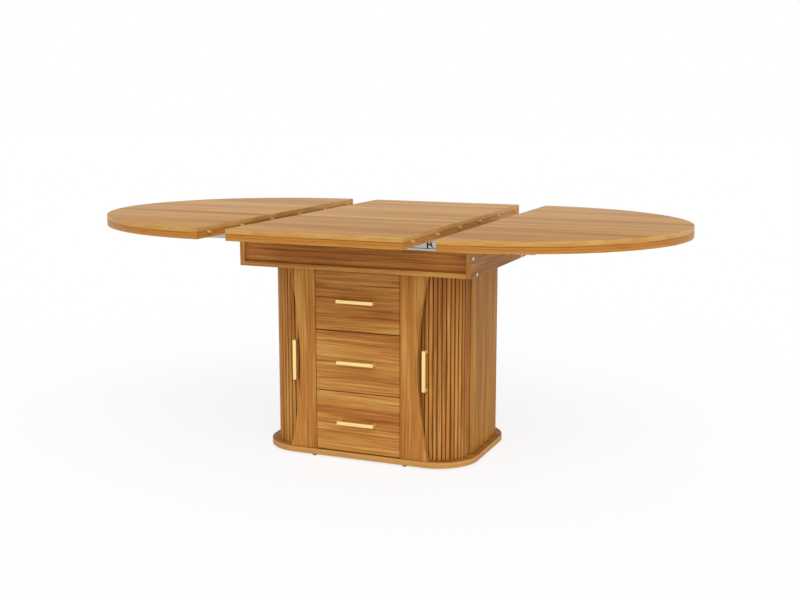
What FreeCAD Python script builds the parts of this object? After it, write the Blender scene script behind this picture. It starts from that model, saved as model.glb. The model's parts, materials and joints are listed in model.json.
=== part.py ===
"""Extending dining table on a storage pedestal, as a parametric document in millimetres.

The origin is on the floor under the middle of the pedestal, +X runs along the table, the drawers
face -Y and +Z is up. The two end leaves stand pulled away from the centre leaf, with the dowels free.
"""
import FreeCAD, Part
import math
import os
import Sketcher

SIZES = {
    # Table top
    "table_height": 760,
    "top_thickness": 35,
    "top_depth": 1100,
    "end_leaf_length": 600,
    "centre_leaf_width": 560,
    "leaf_gap": 97,
    "edge_bevel": 2,
    "dowel_count": 6,
    "dowel_margin": 60,
    "dowel_diameter": 8,
    "dowel_seat": 16,
    "dowel_reach": 12,
    "dowel_tip": 1.5,
    "dowel_seat_clearance": 0.1,
    "dowel_socket_clearance": 0.3,
    "dowel_socket_spare": 1.5,
    # Aluminium slides between apron and top
    "slide_height": 35,
    "slide_width": 40,
    "slide_inset": 2,
    "slide_wall": 2.5,
    "slide_lip": 3,
    "slide_clearance": 0.3,
    "slide_groove_rise": 6,
    "slide_groove_width": 2,
    "slide_groove_depth": 1.2,
    "rail_wall": 2,
    "rail_start": 60,
    "rail_bearing": 200,
    "catch_offset": 250,
    "catch_thickness": 1.5,
    "catch_width": 5,
    "catch_rise": 8,
    "catch_height": 23,
    "catch_arm_reach": 6.5,
    "catch_arm_rise": 9,
    "catch_arm_thickness": 4,
    "lever_gap": 0.5,
    "lever_width": 4.5,
    "lever_rise": 10,
    "lever_height": 17,
    "lever_lean": 4,
    # Apron box
    "apron_overhang": 107,
    "apron_depth": 570,
    "apron_height": 77,
    "board_thickness": 15,
    "rail_setback": 10,
    "bolt_head_diameter": 12,
    "bolt_head_height": 2,
    "bolt_shank_diameter": 6,
    "bolt_length": 45,
    "bolt_clearance": 0.15,
    "rail_bolt_rise": 60,
    "base_bolt_offset": 229,
    # Plinth
    "plinth_length": 716,
    "plinth_depth": 494,
    "plinth_thickness": 19,
    "plinth_corner": 135,
    "foot_height": 6,
    "foot_diameter": 16,
    "foot_inset": 14,
    "front_foot_offset": 157,
    "end_foot_offset": 300,
    # Pedestal carcass
    "carcass_length": 670,
    "carcass_depth": 450,
    "corner_radius": 105,
    "back_thickness": 12,
    "partition_thickness": 15,
    "stile_thickness": 18,
    "stile_width": 91,
    "stile_bow": 34,
    "stile_lap": 2,
    "front_reach": 242,
    "shelf_rise": 280,
    "shelf_thickness": 15,
    "shelf_clearance": 0.5,
    "shelf_setback": 38,
    "shelf_ring_gap": 2.5,
    "shelf_nose_gap": 4,
    "batten_size": 12,
    "batten_ring_gap": 5,
    # Drawers
    "drawer_opening": 290,
    "drawer_side_gap": 2,
    "drawer_gap": 3,
    "drawer_depth": 414,
    "drawer_wall": 12,
    "drawer_wall_height": 130,
    "drawer_bottom": 5,
    "drawer_rise": 20,
    "runner_space": 13,
    "runner_height": 35,
    "runner_length": 400,
    "runner_inset": 4,
    "runner_metal": 1.2,
    "runner_lap": 10.5,
    "runner_clearance": 0.5,
    "drawer_handle_length": 125,
    "door_handle_length": 130,
    "handle_height": 11,
    "handle_reach": 24,
    "handle_bar": 7,
    "handle_leg": 9,
    "handle_chamfer": 1.2,
    # Tambour doors on the front corners
    "slat_count": 16,
    "slat_pitch_angle": 8.04,
    "slat_first_angle": -20,
    "slat_thickness": 8,
    "slat_half_width": 6.1,
    "slat_crest": 8.6,
    "slat_chamfer": 3.5,
    "slat_end_gap": 1,
    "tongue_thickness": 3.7,
    "tongue_inset": 0.3,
    "tongue_half_width": 5,
    "groove_depth": 6,
    "groove_play": 0.8,
    "groove_margin": 6,
    "door_clearance": 1,
    "door_travel_angle": 75,
    "door_edge_thickness": 5,
    "canvas_thickness": 0.8,
    "canvas_gap": 0.1,
    "handle_slat_number": 2,
    "door_handle_rise": 285,
}


class Size:
    """A length or an angle that keeps its number and the sheet expression that gives it."""

    def __init__(self, number, text):
        self.number = number
        self.text = text

    def __add__(self, other):
        other = as_size(other)
        return Size(self.number + other.number, f"({self.text} + {other.text})")

    def __sub__(self, other):
        other = as_size(other)
        return Size(self.number - other.number, f"({self.text} - {other.text})")

    def __mul__(self, other):
        other = as_size(other)
        return Size(self.number * other.number, f"({self.text} * {other.text})")

    def __truediv__(self, other):
        other = as_size(other)
        return Size(self.number / other.number, f"({self.text} / {other.text})")

    def __rsub__(self, other):
        return as_size(other) - self

    def __neg__(self):
        return self * -1

    __radd__ = __add__
    __rmul__ = __mul__


def as_size(value):
    return value if isinstance(value, Size) else Size(value, f"({value})")


def sine(angle):
    return Size(math.sin(math.radians(angle.number)), f"sin({angle.text} * 1 deg)")


def cosine(angle):
    return Size(math.cos(math.radians(angle.number)), f"cos({angle.text} * 1 deg)")


class Named:
    """The driving dimensions, each readable as an attribute."""


doc = FreeCAD.newDocument("ExtendingTable")
sheet = doc.addObject("Spreadsheet::Sheet", "Sizes")
size = Named()
for row, (name, value) in enumerate(SIZES.items(), start=1):
    sheet.set(f"A{row}", name)
    sheet.set(f"B{row}", str(value))
    sheet.setAlias(f"B{row}", name)
    setattr(size, name, Size(value, f"Sizes.{name}"))
doc.recompute()

UP = FreeCAD.Vector(0, 0, 1)
UP_TO_X = FreeCAD.Rotation(FreeCAD.Vector(0, 1, 0), 90)
LEFT, RIGHT = -1, 1
SIDE_NAMES = {LEFT: "left", RIGHT: "right"}
ROOM = 1    # cutting tools run this far past the face they open
TOUCH = 0.01    # edges closer than this to a face lie on it
PIN_FLATS = 12    # bolts and dowels are drawn with this many flats
CUBIC_CENTIMETRE = 1000

nodes = []


def keep(thing):
    """Mark an object as a finished piece of the table."""
    nodes.append(thing)
    return thing


def bind(thing, path, value):
    thing.setExpression(path, as_size(value).text)


def move(thing, x, y, z):
    for axis, value in zip("xyz", (x, y, z)):
        bind(thing, f"Placement.Base.{axis}", value)
    return thing


def turn(thing, rotation):
    thing.Placement = FreeCAD.Placement(FreeCAD.Vector(), rotation)
    return thing


def slab(label, x, y, z):
    """A square-edged board between two limits on each axis."""
    board = doc.addObject("Part::Box", label)
    for name, (low, high) in zip(("Length", "Width", "Height"), (x, y, z)):
        bind(board, name, as_size(high) - low)
    return move(board, x[0], y[0], z[0])


def mirrored(side, low, high):
    """The span low..high on the right, or its mirror image on the left."""
    return (low, high) if side == RIGHT else (-high, -low)


def rod(label, radius, length, start):
    """A round bar or cutter that stands on start."""
    bar = doc.addObject("Part::Cylinder", label)
    bind(bar, "Radius", radius)
    bind(bar, "Height", length)
    return move(bar, *start)


def pin(label, radius, length, start):
    """A bolt's shank or head, or the drill for it, that runs from start along +X."""
    bar = doc.addObject("Part::Prism", label)
    bar.Polygon = PIN_FLATS
    bind(bar, "Circumradius", radius)
    bind(bar, "Height", length)
    turn(bar, UP_TO_X)
    return move(bar, *start)


def ring(label, inner, outer, z, centre, first, sweep):
    """A sector of a tube about a vertical axis; first is its start angle from +X, sweep its width."""
    walls = []
    for name, radius, spare in ((label + "_outside", outer, 0), (label + "_inside", inner, ROOM)):
        wall = doc.addObject("Part::Cylinder", name)
        bind(wall, "Radius", radius)
        bind(wall, "Height", z[1] - z[0] + 2 * spare)
        bind(wall, "Angle", sweep if not spare else 360)
        turn(wall, FreeCAD.Rotation(UP, first.number))
        walls.append(move(wall, *centre, z[0] - spare))
    return cut(label, walls[0], walls[1])


def fuse(label, parts):
    joined = doc.addObject("Part::MultiFuse", label)
    joined.Shapes = parts
    joined.Refine = True
    return joined


def cut(label, base, *tools):
    trimmed = doc.addObject("Part::Cut", label)
    trimmed.Base = base
    trimmed.Tool = tools[0] if len(tools) == 1 else fuse(label + "_cutters", list(tools))
    return trimmed


def group(label, parts):
    """Several like solids that share one node."""
    gathered = doc.addObject("Part::Compound", label)
    gathered.Links = parts
    return gathered


def new_body(label):
    body = doc.addObject("PartDesign::Body", label)
    body.AllowCompound = True
    return body


def origin_part(body, role):
    return next(feature for feature in body.Origin.OriginFeatures if feature.Role == role)


def new_sketch(body, name, role, offset=0):
    """A sketch on one of the body's own origin planes, shifted along the plane's normal."""
    sketch = body.newObject("Sketcher::SketchObject", name)
    sketch.AttachmentSupport = [(origin_part(body, role), "")]
    sketch.MapMode = "FlatFace"
    bind(sketch, "AttachmentOffset.Base.z", offset)
    return sketch


def fix(sketch, kind, where, value, name):
    """Add a dimension to a sketch and bind it to its size."""
    index = sketch.addConstraint(Sketcher.Constraint(kind, *where, as_size(value).number))
    sketch.renameConstraint(index, name)
    bind(sketch, f"Constraints.{name}", value)


def arc_between(start, end, radius):
    """A short arc; a positive radius turns left on the way from start to end, a negative one right."""
    chord = end - start
    height = math.sqrt(radius ** 2 - (chord.Length / 2) ** 2)
    left = FreeCAD.Vector(-chord.y, chord.x, 0).normalize()
    centre = start + chord * 0.5 + left * math.copysign(height, radius)
    first, last = (start, end) if radius > 0 else (end, start)
    angles = [math.atan2(point.y - centre.y, point.x - centre.x) for point in (first, last)]
    return Part.ArcOfCircle(Part.Circle(centre, UP, abs(radius)), *angles)


def draw_outline(sketch, corners):
    """A closed outline through corners; a third value is the radius of the arc to the next corner."""
    points = [FreeCAD.Vector(as_size(c[0]).number, as_size(c[1]).number, 0) for c in corners]
    ends = []
    for index, corner in enumerate(corners):
        here, there = points[index], points[(index + 1) % len(points)]
        radius = as_size(corner[2]).number if len(corner) > 2 else None
        edge = Part.LineSegment(here, there) if radius is None else arc_between(here, there, radius)
        geometry = sketch.addGeometry(edge)
        ends.append((geometry, 1, 2) if radius is None or radius > 0 else (geometry, 2, 1))
    for index, corner in enumerate(corners):
        geometry, start, end = ends[index]
        following, follow_start, _ = ends[(index + 1) % len(ends)]
        sketch.addConstraint(Sketcher.Constraint("Coincident", geometry, end, following, follow_start))
        fix(sketch, "DistanceX", (geometry, start), corner[0], f"across_{index}")
        fix(sketch, "DistanceY", (geometry, start), corner[1], f"along_{index}")
        if len(corner) > 2:
            radius = corner[2] if as_size(corner[2]).number > 0 else -corner[2]
            fix(sketch, "Radius", (geometry,), radius, f"radius_{index}")


def pad(body, sketch, length, name, midplane=False):
    feature = body.newObject("PartDesign::Pad", name)
    feature.Profile = sketch
    feature.Midplane = midplane
    bind(feature, "Length", length)
    doc.recompute()
    return feature


def pocket(body, sketch, depth, name, towards_normal):
    """A pocket that has to take material away."""
    before = body.Shape.Volume
    feature = body.newObject("PartDesign::Pocket", name)
    feature.Profile = sketch
    feature.Reversed = towards_normal
    bind(feature, "Length", depth)
    doc.recompute()
    if body.Shape.Volume >= before:
        raise RuntimeError(f"{body.Label}: {name} cuts nothing")
    return feature


def repeat_along(body, feature, axis, spacing, count, name):
    pattern = body.newObject("PartDesign::LinearPattern", name)
    pattern.Originals = [feature]
    pattern.Direction = (origin_part(body, axis), [""])
    pattern.Mode = "Spacing"
    bind(pattern, "Offset", spacing)
    bind(pattern, "Occurrences", count)
    body.Tip = pattern
    doc.recompute()
    return pattern


def ease_edges(body, feature, kind, amount, wanted, name):
    """A fillet or chamfer on the edges that the test picks out."""
    edges = [f"Edge{i}" for i, edge in enumerate(feature.Shape.Edges, start=1) if wanted(edge)]
    easing = body.newObject(kind, name)
    easing.Base = (feature, edges)
    bind(easing, "Radius" if kind.endswith("Fillet") else "Size", amount)
    doc.recompute()
    return easing


# Heights of the stack, from the floor up
plinth_base = size.foot_height
plinth_top = plinth_base + size.plinth_thickness
top_base = size.table_height - size.top_thickness
slide_base = top_base - size.slide_height
apron_base = slide_base - size.apron_height
carcass_height = apron_base - plinth_top
carcass_z = (plinth_top, apron_base)

# Plan of the pedestal
half_length = size.carcass_length / 2
half_depth = size.carcass_depth / 2
corner_x = half_length - size.corner_radius
corner_y = half_depth - size.corner_radius
inner_radius = size.corner_radius - size.board_thickness
opening_edge = size.drawer_opening / 2
partition_face = opening_edge + size.stile_lap
partition_back = half_depth - size.back_thickness
stile_back = -(size.front_reach - size.stile_thickness)

# The doors' ring about each front corner's upright axis
crest_radius = size.corner_radius - size.door_edge_thickness - size.door_clearance
slat_base_radius = crest_radius - size.slat_thickness
scarf_radius = crest_radius + size.door_clearance
door_first = size.slat_first_angle - size.slat_pitch_angle / 2
door_sweep = size.slat_pitch_angle * size.slat_count
door_z = (plinth_top + size.slat_end_gap, apron_base - size.slat_end_gap)
tongue_inner = slat_base_radius + size.tongue_inset
tongue_outer = tongue_inner + size.tongue_thickness


def door_centre(side):
    return side * corner_x, -corner_y


def front_angle(side, first, sweep):
    """Start angle from +X of a sector given by its angle round the corner from the front."""
    return first - 90 if side == RIGHT else -(first + sweep) - 90


def door_groove(label, side, z):
    """The track that the slats' tongues run in, long enough for the whole travel."""
    first = door_first - size.groove_margin
    sweep = door_sweep + size.door_travel_angle + 2 * size.groove_margin
    inner = tongue_inner - size.groove_play
    outer = tongue_outer + size.groove_play + size.groove_play
    return ring(label, inner, outer, z, door_centre(side), front_angle(side, first, sweep), sweep)


def make_plinth():
    body = new_body("plinth_block")
    outline = new_sketch(body, "plinth_outline", "XY_Plane")
    far_x, far_y, corner = size.plinth_length / 2, size.plinth_depth / 2, size.plinth_corner
    near_x, near_y = far_x - corner, far_y - corner
    draw_outline(outline, [
        (-near_x, -far_y), (near_x, -far_y, corner), (far_x, -near_y), (far_x, near_y, corner),
        (near_x, far_y), (-near_x, far_y, corner), (-far_x, near_y), (-far_x, -near_y, corner)])
    pad(body, outline, size.plinth_thickness, "plinth_pad")
    move(body, 0, 0, plinth_base)
    floor = plinth_top - size.groove_depth
    tracks = [door_groove(f"plinth_track_{SIDE_NAMES[s]}", s, (floor, plinth_top + ROOM))
              for s in (LEFT, RIGHT)]
    keep(cut("plinth_board", body, *tracks))


def make_feet():
    row_y = size.plinth_depth / 2 - size.foot_inset
    places = [(s * size.front_foot_offset, e * row_y) for s in (LEFT, RIGHT) for e in (-1, 1)]
    places += [(s * size.end_foot_offset, 0) for s in (LEFT, RIGHT)]
    feet = [rod(f"foot_{number}", size.foot_diameter / 2, size.foot_height, (x, y, 0))
            for number, (x, y) in enumerate(places, start=1)]
    keep(group("plinth_feet", feet))


def make_partition(side):
    x = mirrored(side, partition_face, partition_face + size.partition_thickness)
    keep(slab(f"partition_{SIDE_NAMES[side]}", x, (stile_back, partition_back), carcass_z))


def make_stile(side):
    """Front upright beside the drawers; its outer edge is hollowed by one long arc."""
    body = new_body(f"stile_{SIDE_NAMES[side]}")
    outline = new_sketch(body, f"stile_outline_{SIDE_NAMES[side]}", "XZ_Plane")
    half = carcass_height / 2
    bow_radius = (half * half + size.stile_bow * size.stile_bow) / (2 * size.stile_bow)
    inner, outer = side * opening_edge, side * (opening_edge + size.stile_width)
    draw_outline(outline, [(inner, plinth_top), (outer, plinth_top, -side * bow_radius),
                           (outer, apron_base), (inner, apron_base)])
    pad(body, outline, size.stile_thickness, f"stile_pad_{SIDE_NAMES[side]}")
    keep(move(body, 0, stile_back, 0))


def make_side_panel(side):
    """Bent side: straight along the end, then a quarter round to the back."""
    name = SIDE_NAMES[side]
    body = new_body(f"side_shell_{name}")
    outline = new_sketch(body, f"side_outline_{name}", "XY_Plane")
    outside, inside = side * half_length, side * (half_length - size.board_thickness)
    bend = side * corner_x
    draw_outline(outline, [
        (outside, -corner_y), (outside, corner_y, side * size.corner_radius),
        (bend, half_depth), (bend, half_depth - size.board_thickness, -side * inner_radius),
        (inside, corner_y), (inside, -corner_y)])
    pad(body, outline, carcass_height, f"side_pad_{name}")
    move(body, 0, 0, plinth_top)
    start = (*door_centre(side), plinth_top - ROOM)
    scarf = rod(f"side_scarf_{name}", scarf_radius, carcass_height + 2 * ROOM, start)
    keep(cut(f"side_panel_{name}", body, scarf))


def make_back():
    keep(slab("back_panel", (-corner_x, corner_x), (partition_back, half_depth), carcass_z))


def make_shelf(side):
    """Cupboard shelf, cut clear of the ring that the door sweeps."""
    name = SIDE_NAMES[side]
    play = size.shelf_clearance
    z = (plinth_top + size.shelf_rise, plinth_top + size.shelf_rise + size.shelf_thickness)
    near = partition_face + size.partition_thickness
    ring_top = scarf_radius - corner_y + size.shelf_ring_gap
    inside = slat_base_radius - size.canvas_gap - size.canvas_thickness - size.shelf_nose_gap
    pieces = [
        slab(f"shelf_rear_{name}", mirrored(side, near, half_length - size.board_thickness - play),
             (ring_top, corner_y), z),
        slab(f"shelf_back_{name}", mirrored(side, near, corner_x), (ring_top, partition_back - play), z),
        slab(f"shelf_front_{name}", mirrored(side, near, corner_x - size.shelf_nose_gap),
             (stile_back + size.shelf_setback, ring_top), z)]
    for label, radius, y in (("corner", inner_radius - play, corner_y), ("nose", inside, -corner_y)):
        start = (side * corner_x, y, z[0])
        pieces.append(rod(f"shelf_{label}_{name}", radius, size.shelf_thickness, start))
    beyond = slab(f"shelf_trim_{name}", mirrored(side, corner_x - size.corner_radius, near),
                  (-half_depth, half_depth), (z[0] - ROOM, z[1] + ROOM))
    keep(cut(f"shelf_{name}", fuse(f"shelf_stock_{name}", pieces), beyond))


def make_shelf_battens():
    """Strips on the partitions and the side panels that carry the shelves."""
    top = plinth_top + size.shelf_rise
    z = (top - size.batten_size, top)
    y = (scarf_radius - corner_y + size.batten_ring_gap, corner_y)
    near = partition_face + size.partition_thickness
    far = half_length - size.board_thickness
    spans = {"inner": (near, near + size.batten_size), "outer": (far - size.batten_size, far)}
    battens = []
    for side in (LEFT, RIGHT):
        for place, x in spans.items():
            battens.append(slab(f"batten_{place}_{SIDE_NAMES[side]}", mirrored(side, *x), y, z))
    keep(group("shelf_battens", battens))


# Apron box
centre_half = size.centre_leaf_width / 2
apron_end = centre_half + size.apron_overhang
apron_front = size.apron_depth / 2
side_face = apron_end - size.board_thickness
rail_outer = apron_front - size.rail_setback
rail_inner = rail_outer - size.board_thickness
rail_bolt = (rail_outer - size.board_thickness / 2, apron_base + size.rail_bolt_rise)
base_bolt = (size.base_bolt_offset, apron_base + size.board_thickness / 2)
BOLT_PLACES = [(end * y, z) for y, z in (rail_bolt, base_bolt) for end in (-1, 1)]


def bolt_holes(label, places):
    """Drills through the apron's ends, one per bolt, on both sides."""
    radius = size.bolt_shank_diameter / 2 + size.bolt_clearance
    length = size.bolt_length + size.bolt_clearance
    drills = []
    for side in (LEFT, RIGHT):
        for number, (y, z) in enumerate(places):
            x = apron_end - length if side == RIGHT else -apron_end
            drills.append(pin(f"{label}_drill_{SIDE_NAMES[side]}_{number}", radius, length, (x, y, z)))
    return drills


def make_apron():
    y = (-apron_front, apron_front)
    base_z = (apron_base, apron_base + size.board_thickness)
    floor = slab("apron_bottom_board", (-side_face, side_face), y, base_z)
    track_z = (apron_base - ROOM, apron_base + size.groove_depth)
    tracks = [door_groove(f"apron_track_{SIDE_NAMES[s]}", s, track_z) for s in (LEFT, RIGHT)]
    keep(cut("apron_bottom", floor, *tracks, *bolt_holes("apron_bottom", BOLT_PLACES[2:])))
    for side in (LEFT, RIGHT):
        name = f"apron_side_{SIDE_NAMES[side]}"
        board = slab(name + "_board", mirrored(side, side_face, apron_end), y, (apron_base, slide_base))
        keep(cut(name, board, *bolt_holes(name, BOLT_PLACES)))
    for name, end, place in (("apron_front_rail", -1, 0), ("apron_back_rail", 1, 1)):
        span = (rail_inner, rail_outer) if end > 0 else (-rail_outer, -rail_inner)
        board = slab(name + "_board", (-side_face, side_face), span, (base_z[1], slide_base))
        keep(cut(name, board, *bolt_holes(name, BOLT_PLACES[place:place + 1])))


def make_bolts():
    shank_radius, head_radius = size.bolt_shank_diameter / 2, size.bolt_head_diameter / 2
    bolts = []
    for side in (LEFT, RIGHT):
        for number, (y, z) in enumerate(BOLT_PLACES):
            name = f"bolt_{SIDE_NAMES[side]}_{number}"
            shank_x = apron_end - size.bolt_length if side == RIGHT else -apron_end
            head_x = apron_end if side == RIGHT else -apron_end - size.bolt_head_height
            shank = pin(name + "_shank", shank_radius, size.bolt_length, (shank_x, y, z))
            head = pin(name + "_head", head_radius, size.bolt_head_height, (head_x, y, z))
            bolts.append(fuse(name, [shank, head]))
    keep(group("apron_bolts", bolts))


# Slides: one fixed channel with two lanes along each long side of the apron
slide_outer = apron_front - size.slide_inset
slide_top = top_base - size.slide_clearance
lane_width = (size.slide_width - 3 * size.slide_wall) / 2
lane_floor = slide_base + size.slide_wall
lane_roof = slide_top - size.slide_wall
ENDS = {"front": -1, "back": 1}


def lane_start(lane):
    """Distance of a lane's outer wall face from the channel's outer face; lane 0 is the outer one."""
    return size.slide_wall + lane * (lane_width + size.slide_wall)


def across(end, low, high):
    """A span measured inwards from the channel's outer face, as a span along Y."""
    return (slide_outer - high, slide_outer - low) if end > 0 else (low - slide_outer, high - slide_outer)


def make_channel(place):
    end = ENDS[place]
    x = (-apron_end, apron_end)
    beyond = (-apron_end - ROOM, apron_end + ROOM)
    stock = slab(f"channel_stock_{place}", x, across(end, 0, size.slide_width), (slide_base, slide_top))
    tools = []
    for lane in (0, 1):
        start = lane_start(lane)
        hollow = across(end, start, start + lane_width)
        mouth = across(end, start + size.slide_lip, start + lane_width - size.slide_lip)
        tools.append(slab(f"lane_{place}_{lane}", beyond, hollow, (lane_floor, lane_roof)))
        tools.append(slab(f"mouth_{place}_{lane}", beyond, mouth, (lane_roof - ROOM, slide_top + ROOM)))
    rise = slide_base + size.slide_groove_rise
    shadow = across(end, -ROOM, size.slide_groove_depth)
    tools.append(slab(f"shadow_groove_{place}", beyond, shadow, (rise, rise + size.slide_groove_width)))
    keep(cut(f"slide_channel_{place}", stock, *tools))


def make_catch(side, place):
    """A catch on a channel's outer face: an upright with an arm, and a lever that leans towards it."""
    name = f"catch_{place}_{SIDE_NAMES[side]}"
    half = size.catch_width / 2
    foot = slide_base + size.catch_rise
    head = foot + size.catch_height
    arm_low = foot + size.catch_arm_rise
    arm_high, arm_end = arm_low + size.catch_arm_thickness, half + size.catch_arm_reach
    lever_near = arm_end + size.lever_gap
    lever_foot = slide_base + size.lever_rise
    lever_head = lever_foot + size.lever_height
    outlines = {
        "upright": [(-half, foot), (half, foot), (half, arm_low), (arm_end, arm_low), (arm_end, arm_high),
                    (half, arm_high), (half, head), (-half, head)],
        "lever": [(lever_near + size.lever_lean, lever_foot),
                  (lever_near + size.lever_lean + size.lever_width, lever_foot),
                  (lever_near + size.lever_width, lever_head), (lever_near, lever_head)]}
    body = new_body(name)
    for part, corners in outlines.items():
        outline = new_sketch(body, f"{name}_{part}_outline", "XZ_Plane")
        draw_outline(outline, [(side * (size.catch_offset + x), z) for x, z in corners])
        pad(body, outline, size.catch_thickness, f"{name}_{part}")
    return move(body, 0, slide_outer + size.catch_thickness if ENDS[place] > 0 else -slide_outer, 0)


def make_catches():
    keep(group("slide_stops", [make_catch(side, place) for place in ENDS for side in (LEFT, RIGHT)]))


# Leaves
leaf_edge = centre_half + size.leaf_gap
dowel_span = size.top_depth - 2 * size.dowel_margin
dowel_spacing = dowel_span / (size.dowel_count - 1)
dowel_height = top_base + size.top_thickness / 2


def make_rail(side, place):
    """Moving rail under an end leaf: a box tube in its lane, with a spine that rises to the leaf."""
    name = f"{SIDE_NAMES[side]}_rail_{place}"
    lane = 0 if side * ENDS[place] < 0 else 1
    low = lane_start(lane) + size.slide_clearance
    high = lane_start(lane) + lane_width - size.slide_clearance
    reach = leaf_edge + size.rail_bearing
    tube_z = (lane_floor + size.slide_clearance, lane_roof - size.slide_clearance)
    tube_y = across(ENDS[place], low, high)
    spine_y = across(ENDS[place], low + size.slide_lip, high - size.slide_lip)
    tube = slab(name + "_tube", mirrored(side, size.rail_start, reach), tube_y, tube_z)
    spine_z = (tube_z[1] - size.rail_wall, top_base)
    spine = slab(name + "_spine", mirrored(side, leaf_edge, reach), spine_y, spine_z)
    bore_y = across(ENDS[place], low + size.rail_wall, high - size.rail_wall)
    bore_z = (tube_z[0] + size.rail_wall, tube_z[1] - size.rail_wall)
    bore = slab(name + "_bore", mirrored(side, size.rail_start - ROOM, reach + ROOM), bore_y, bore_z)
    keep(cut(name, fuse(name + "_stock", [tube, spine]), bore))


def draw_half_oval(sketch):
    """Half an ellipse on the +X side of the Y axis, closed by its straight edge."""
    length, half = size.end_leaf_length, size.top_depth / 2
    tip, shoulder = FreeCAD.Vector(length.number, 0, 0), FreeCAD.Vector(0, half.number, 0)
    centre = FreeCAD.Vector()
    if length.number > half.number:
        oval = Part.ArcOfEllipse(Part.Ellipse(tip, shoulder, centre), -math.pi / 2, math.pi / 2)
        long_line, long_axis, short_axis = "Horizontal", 2 * length, 2 * half
    else:
        oval = Part.ArcOfEllipse(Part.Ellipse(shoulder, -tip, centre), math.pi, 2 * math.pi)
        long_line, long_axis, short_axis = "Vertical", 2 * half, 2 * length
    curve = sketch.addGeometry(oval)
    sketch.exposeInternalGeometry(curve)
    long_diameter, short_diameter = curve + 1, curve + 2
    edge = sketch.addGeometry(Part.LineSegment(shoulder, -shoulder))
    sketch.addConstraint(Sketcher.Constraint("Coincident", curve, 3, -1, 1))
    sketch.addConstraint(Sketcher.Constraint("Coincident", curve, 2, edge, 1))
    sketch.addConstraint(Sketcher.Constraint("Coincident", curve, 1, edge, 2))
    sketch.addConstraint(Sketcher.Constraint(long_line, long_diameter))
    fix(sketch, "Distance", (long_diameter,), long_axis, "long_axis")
    fix(sketch, "Distance", (short_diameter,), short_axis, "short_axis")
    for end in (1, 2):
        sketch.addConstraint(Sketcher.Constraint("PointOnObject", curve, end, -2))


def upper_edge(edge):
    """True for the edges round a leaf's upper face; the underside stays square."""
    return edge.BoundBox.ZMin > size.top_thickness.number / 2


def bore_edge(body, plane_x, radius, depth, inwards, name):
    """A row of dowel holes in a leaf's straight edge; inwards is +1 or -1 along the body's X."""
    sketch = new_sketch(body, name + "_mark", "YZ_Plane", plane_x)
    centre = FreeCAD.Vector(-dowel_span.number / 2, size.top_thickness.number / 2, 0)
    circle = sketch.addGeometry(Part.Circle(centre, UP, radius.number))
    fix(sketch, "Radius", (circle,), radius, "bore")
    fix(sketch, "DistanceX", (circle, 3), -dowel_span / 2, "across")
    fix(sketch, "DistanceY", (circle, 3), size.top_thickness / 2, "up")
    first = pocket(body, sketch, depth, name + "_bore", inwards > 0)
    repeat_along(body, first, "Y_Axis", dowel_spacing, size.dowel_count, name + "_row")


SEAT_RADIUS = size.dowel_diameter / 2 + size.dowel_seat_clearance
SOCKET_RADIUS = size.dowel_diameter / 2 + size.dowel_socket_clearance
SEAT_DEPTH = size.dowel_seat + size.dowel_socket_clearance
SOCKET_DEPTH = size.dowel_reach + size.dowel_socket_spare


def make_end_leaf(side):
    name = SIDE_NAMES[side]
    body = new_body(f"{name}_leaf_panel")
    outline = new_sketch(body, f"{name}_leaf_outline", "XY_Plane")
    draw_half_oval(outline)
    board = pad(body, outline, size.top_thickness, f"{name}_leaf_pad")
    ease_edges(body, board, "PartDesign::Chamfer", size.edge_bevel, upper_edge, f"{name}_leaf_ease")
    radius, depth = (SEAT_RADIUS, SEAT_DEPTH) if side == LEFT else (SOCKET_RADIUS, SOCKET_DEPTH)
    bore_edge(body, 0, radius, depth, 1, f"{name}_leaf_hole")
    turn(body, FreeCAD.Rotation(UP, 0 if side == RIGHT else 180))
    keep(move(body, side * leaf_edge, 0, top_base))


def make_centre_leaf():
    body = new_body("centre_leaf_panel")
    outline = new_sketch(body, "centre_leaf_outline", "XY_Plane")
    half = size.top_depth / 2
    draw_outline(outline, [(-centre_half, -half), (centre_half, -half),
                           (centre_half, half), (-centre_half, half)])
    board = pad(body, outline, size.top_thickness, "centre_leaf_pad")
    ease_edges(body, board, "PartDesign::Chamfer", size.edge_bevel, upper_edge, "centre_leaf_ease")
    bore_edge(body, -centre_half, SOCKET_RADIUS, SOCKET_DEPTH, 1, "centre_socket")
    bore_edge(body, centre_half, SEAT_RADIUS, SEAT_DEPTH, -1, "centre_seat")
    keep(move(body, 0, 0, top_base))


def flats(radius):
    """Corners of a pin's section."""
    turns = [math.tau * (corner + 0.5) / PIN_FLATS for corner in range(PIN_FLATS)]
    return [(radius * math.cos(angle), radius * math.sin(angle)) for angle in turns]


def make_dowels(label, edge_x):
    """A row of pins with a bevelled tip, each half sunk in the leaf's edge at edge_x."""
    body = new_body(label)
    radius, tip = size.dowel_diameter / 2, size.dowel_tip
    sections = []
    for number, (x, reach) in enumerate(((-size.dowel_seat, radius), (size.dowel_reach - tip, radius),
                                         (size.dowel_reach, radius - tip))):
        sections.append(new_sketch(body, f"{label}_section_{number}", "YZ_Plane", x))
        draw_outline(sections[-1], flats(reach))
    doc.recompute()
    dowel = body.newObject("PartDesign::AdditiveLoft", label + "_pin")
    dowel.Profile = sections[0]
    dowel.Sections = sections[1:]
    dowel.Ruled = True
    doc.recompute()
    repeat_along(body, dowel, "Y_Axis", dowel_spacing, size.dowel_count, label + "_row")
    keep(move(body, edge_x, -dowel_span / 2, dowel_height))


# Drawers
DRAWERS = ("bottom", "middle", "top")
front_height = (carcass_height - (len(DRAWERS) + 1) * size.drawer_gap) / len(DRAWERS)
drawer_half = partition_face - size.runner_space
drawer_back = stile_back + size.drawer_depth


def drawer_base(level):
    return plinth_top + size.drawer_gap + level * (front_height + size.drawer_gap)


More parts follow.
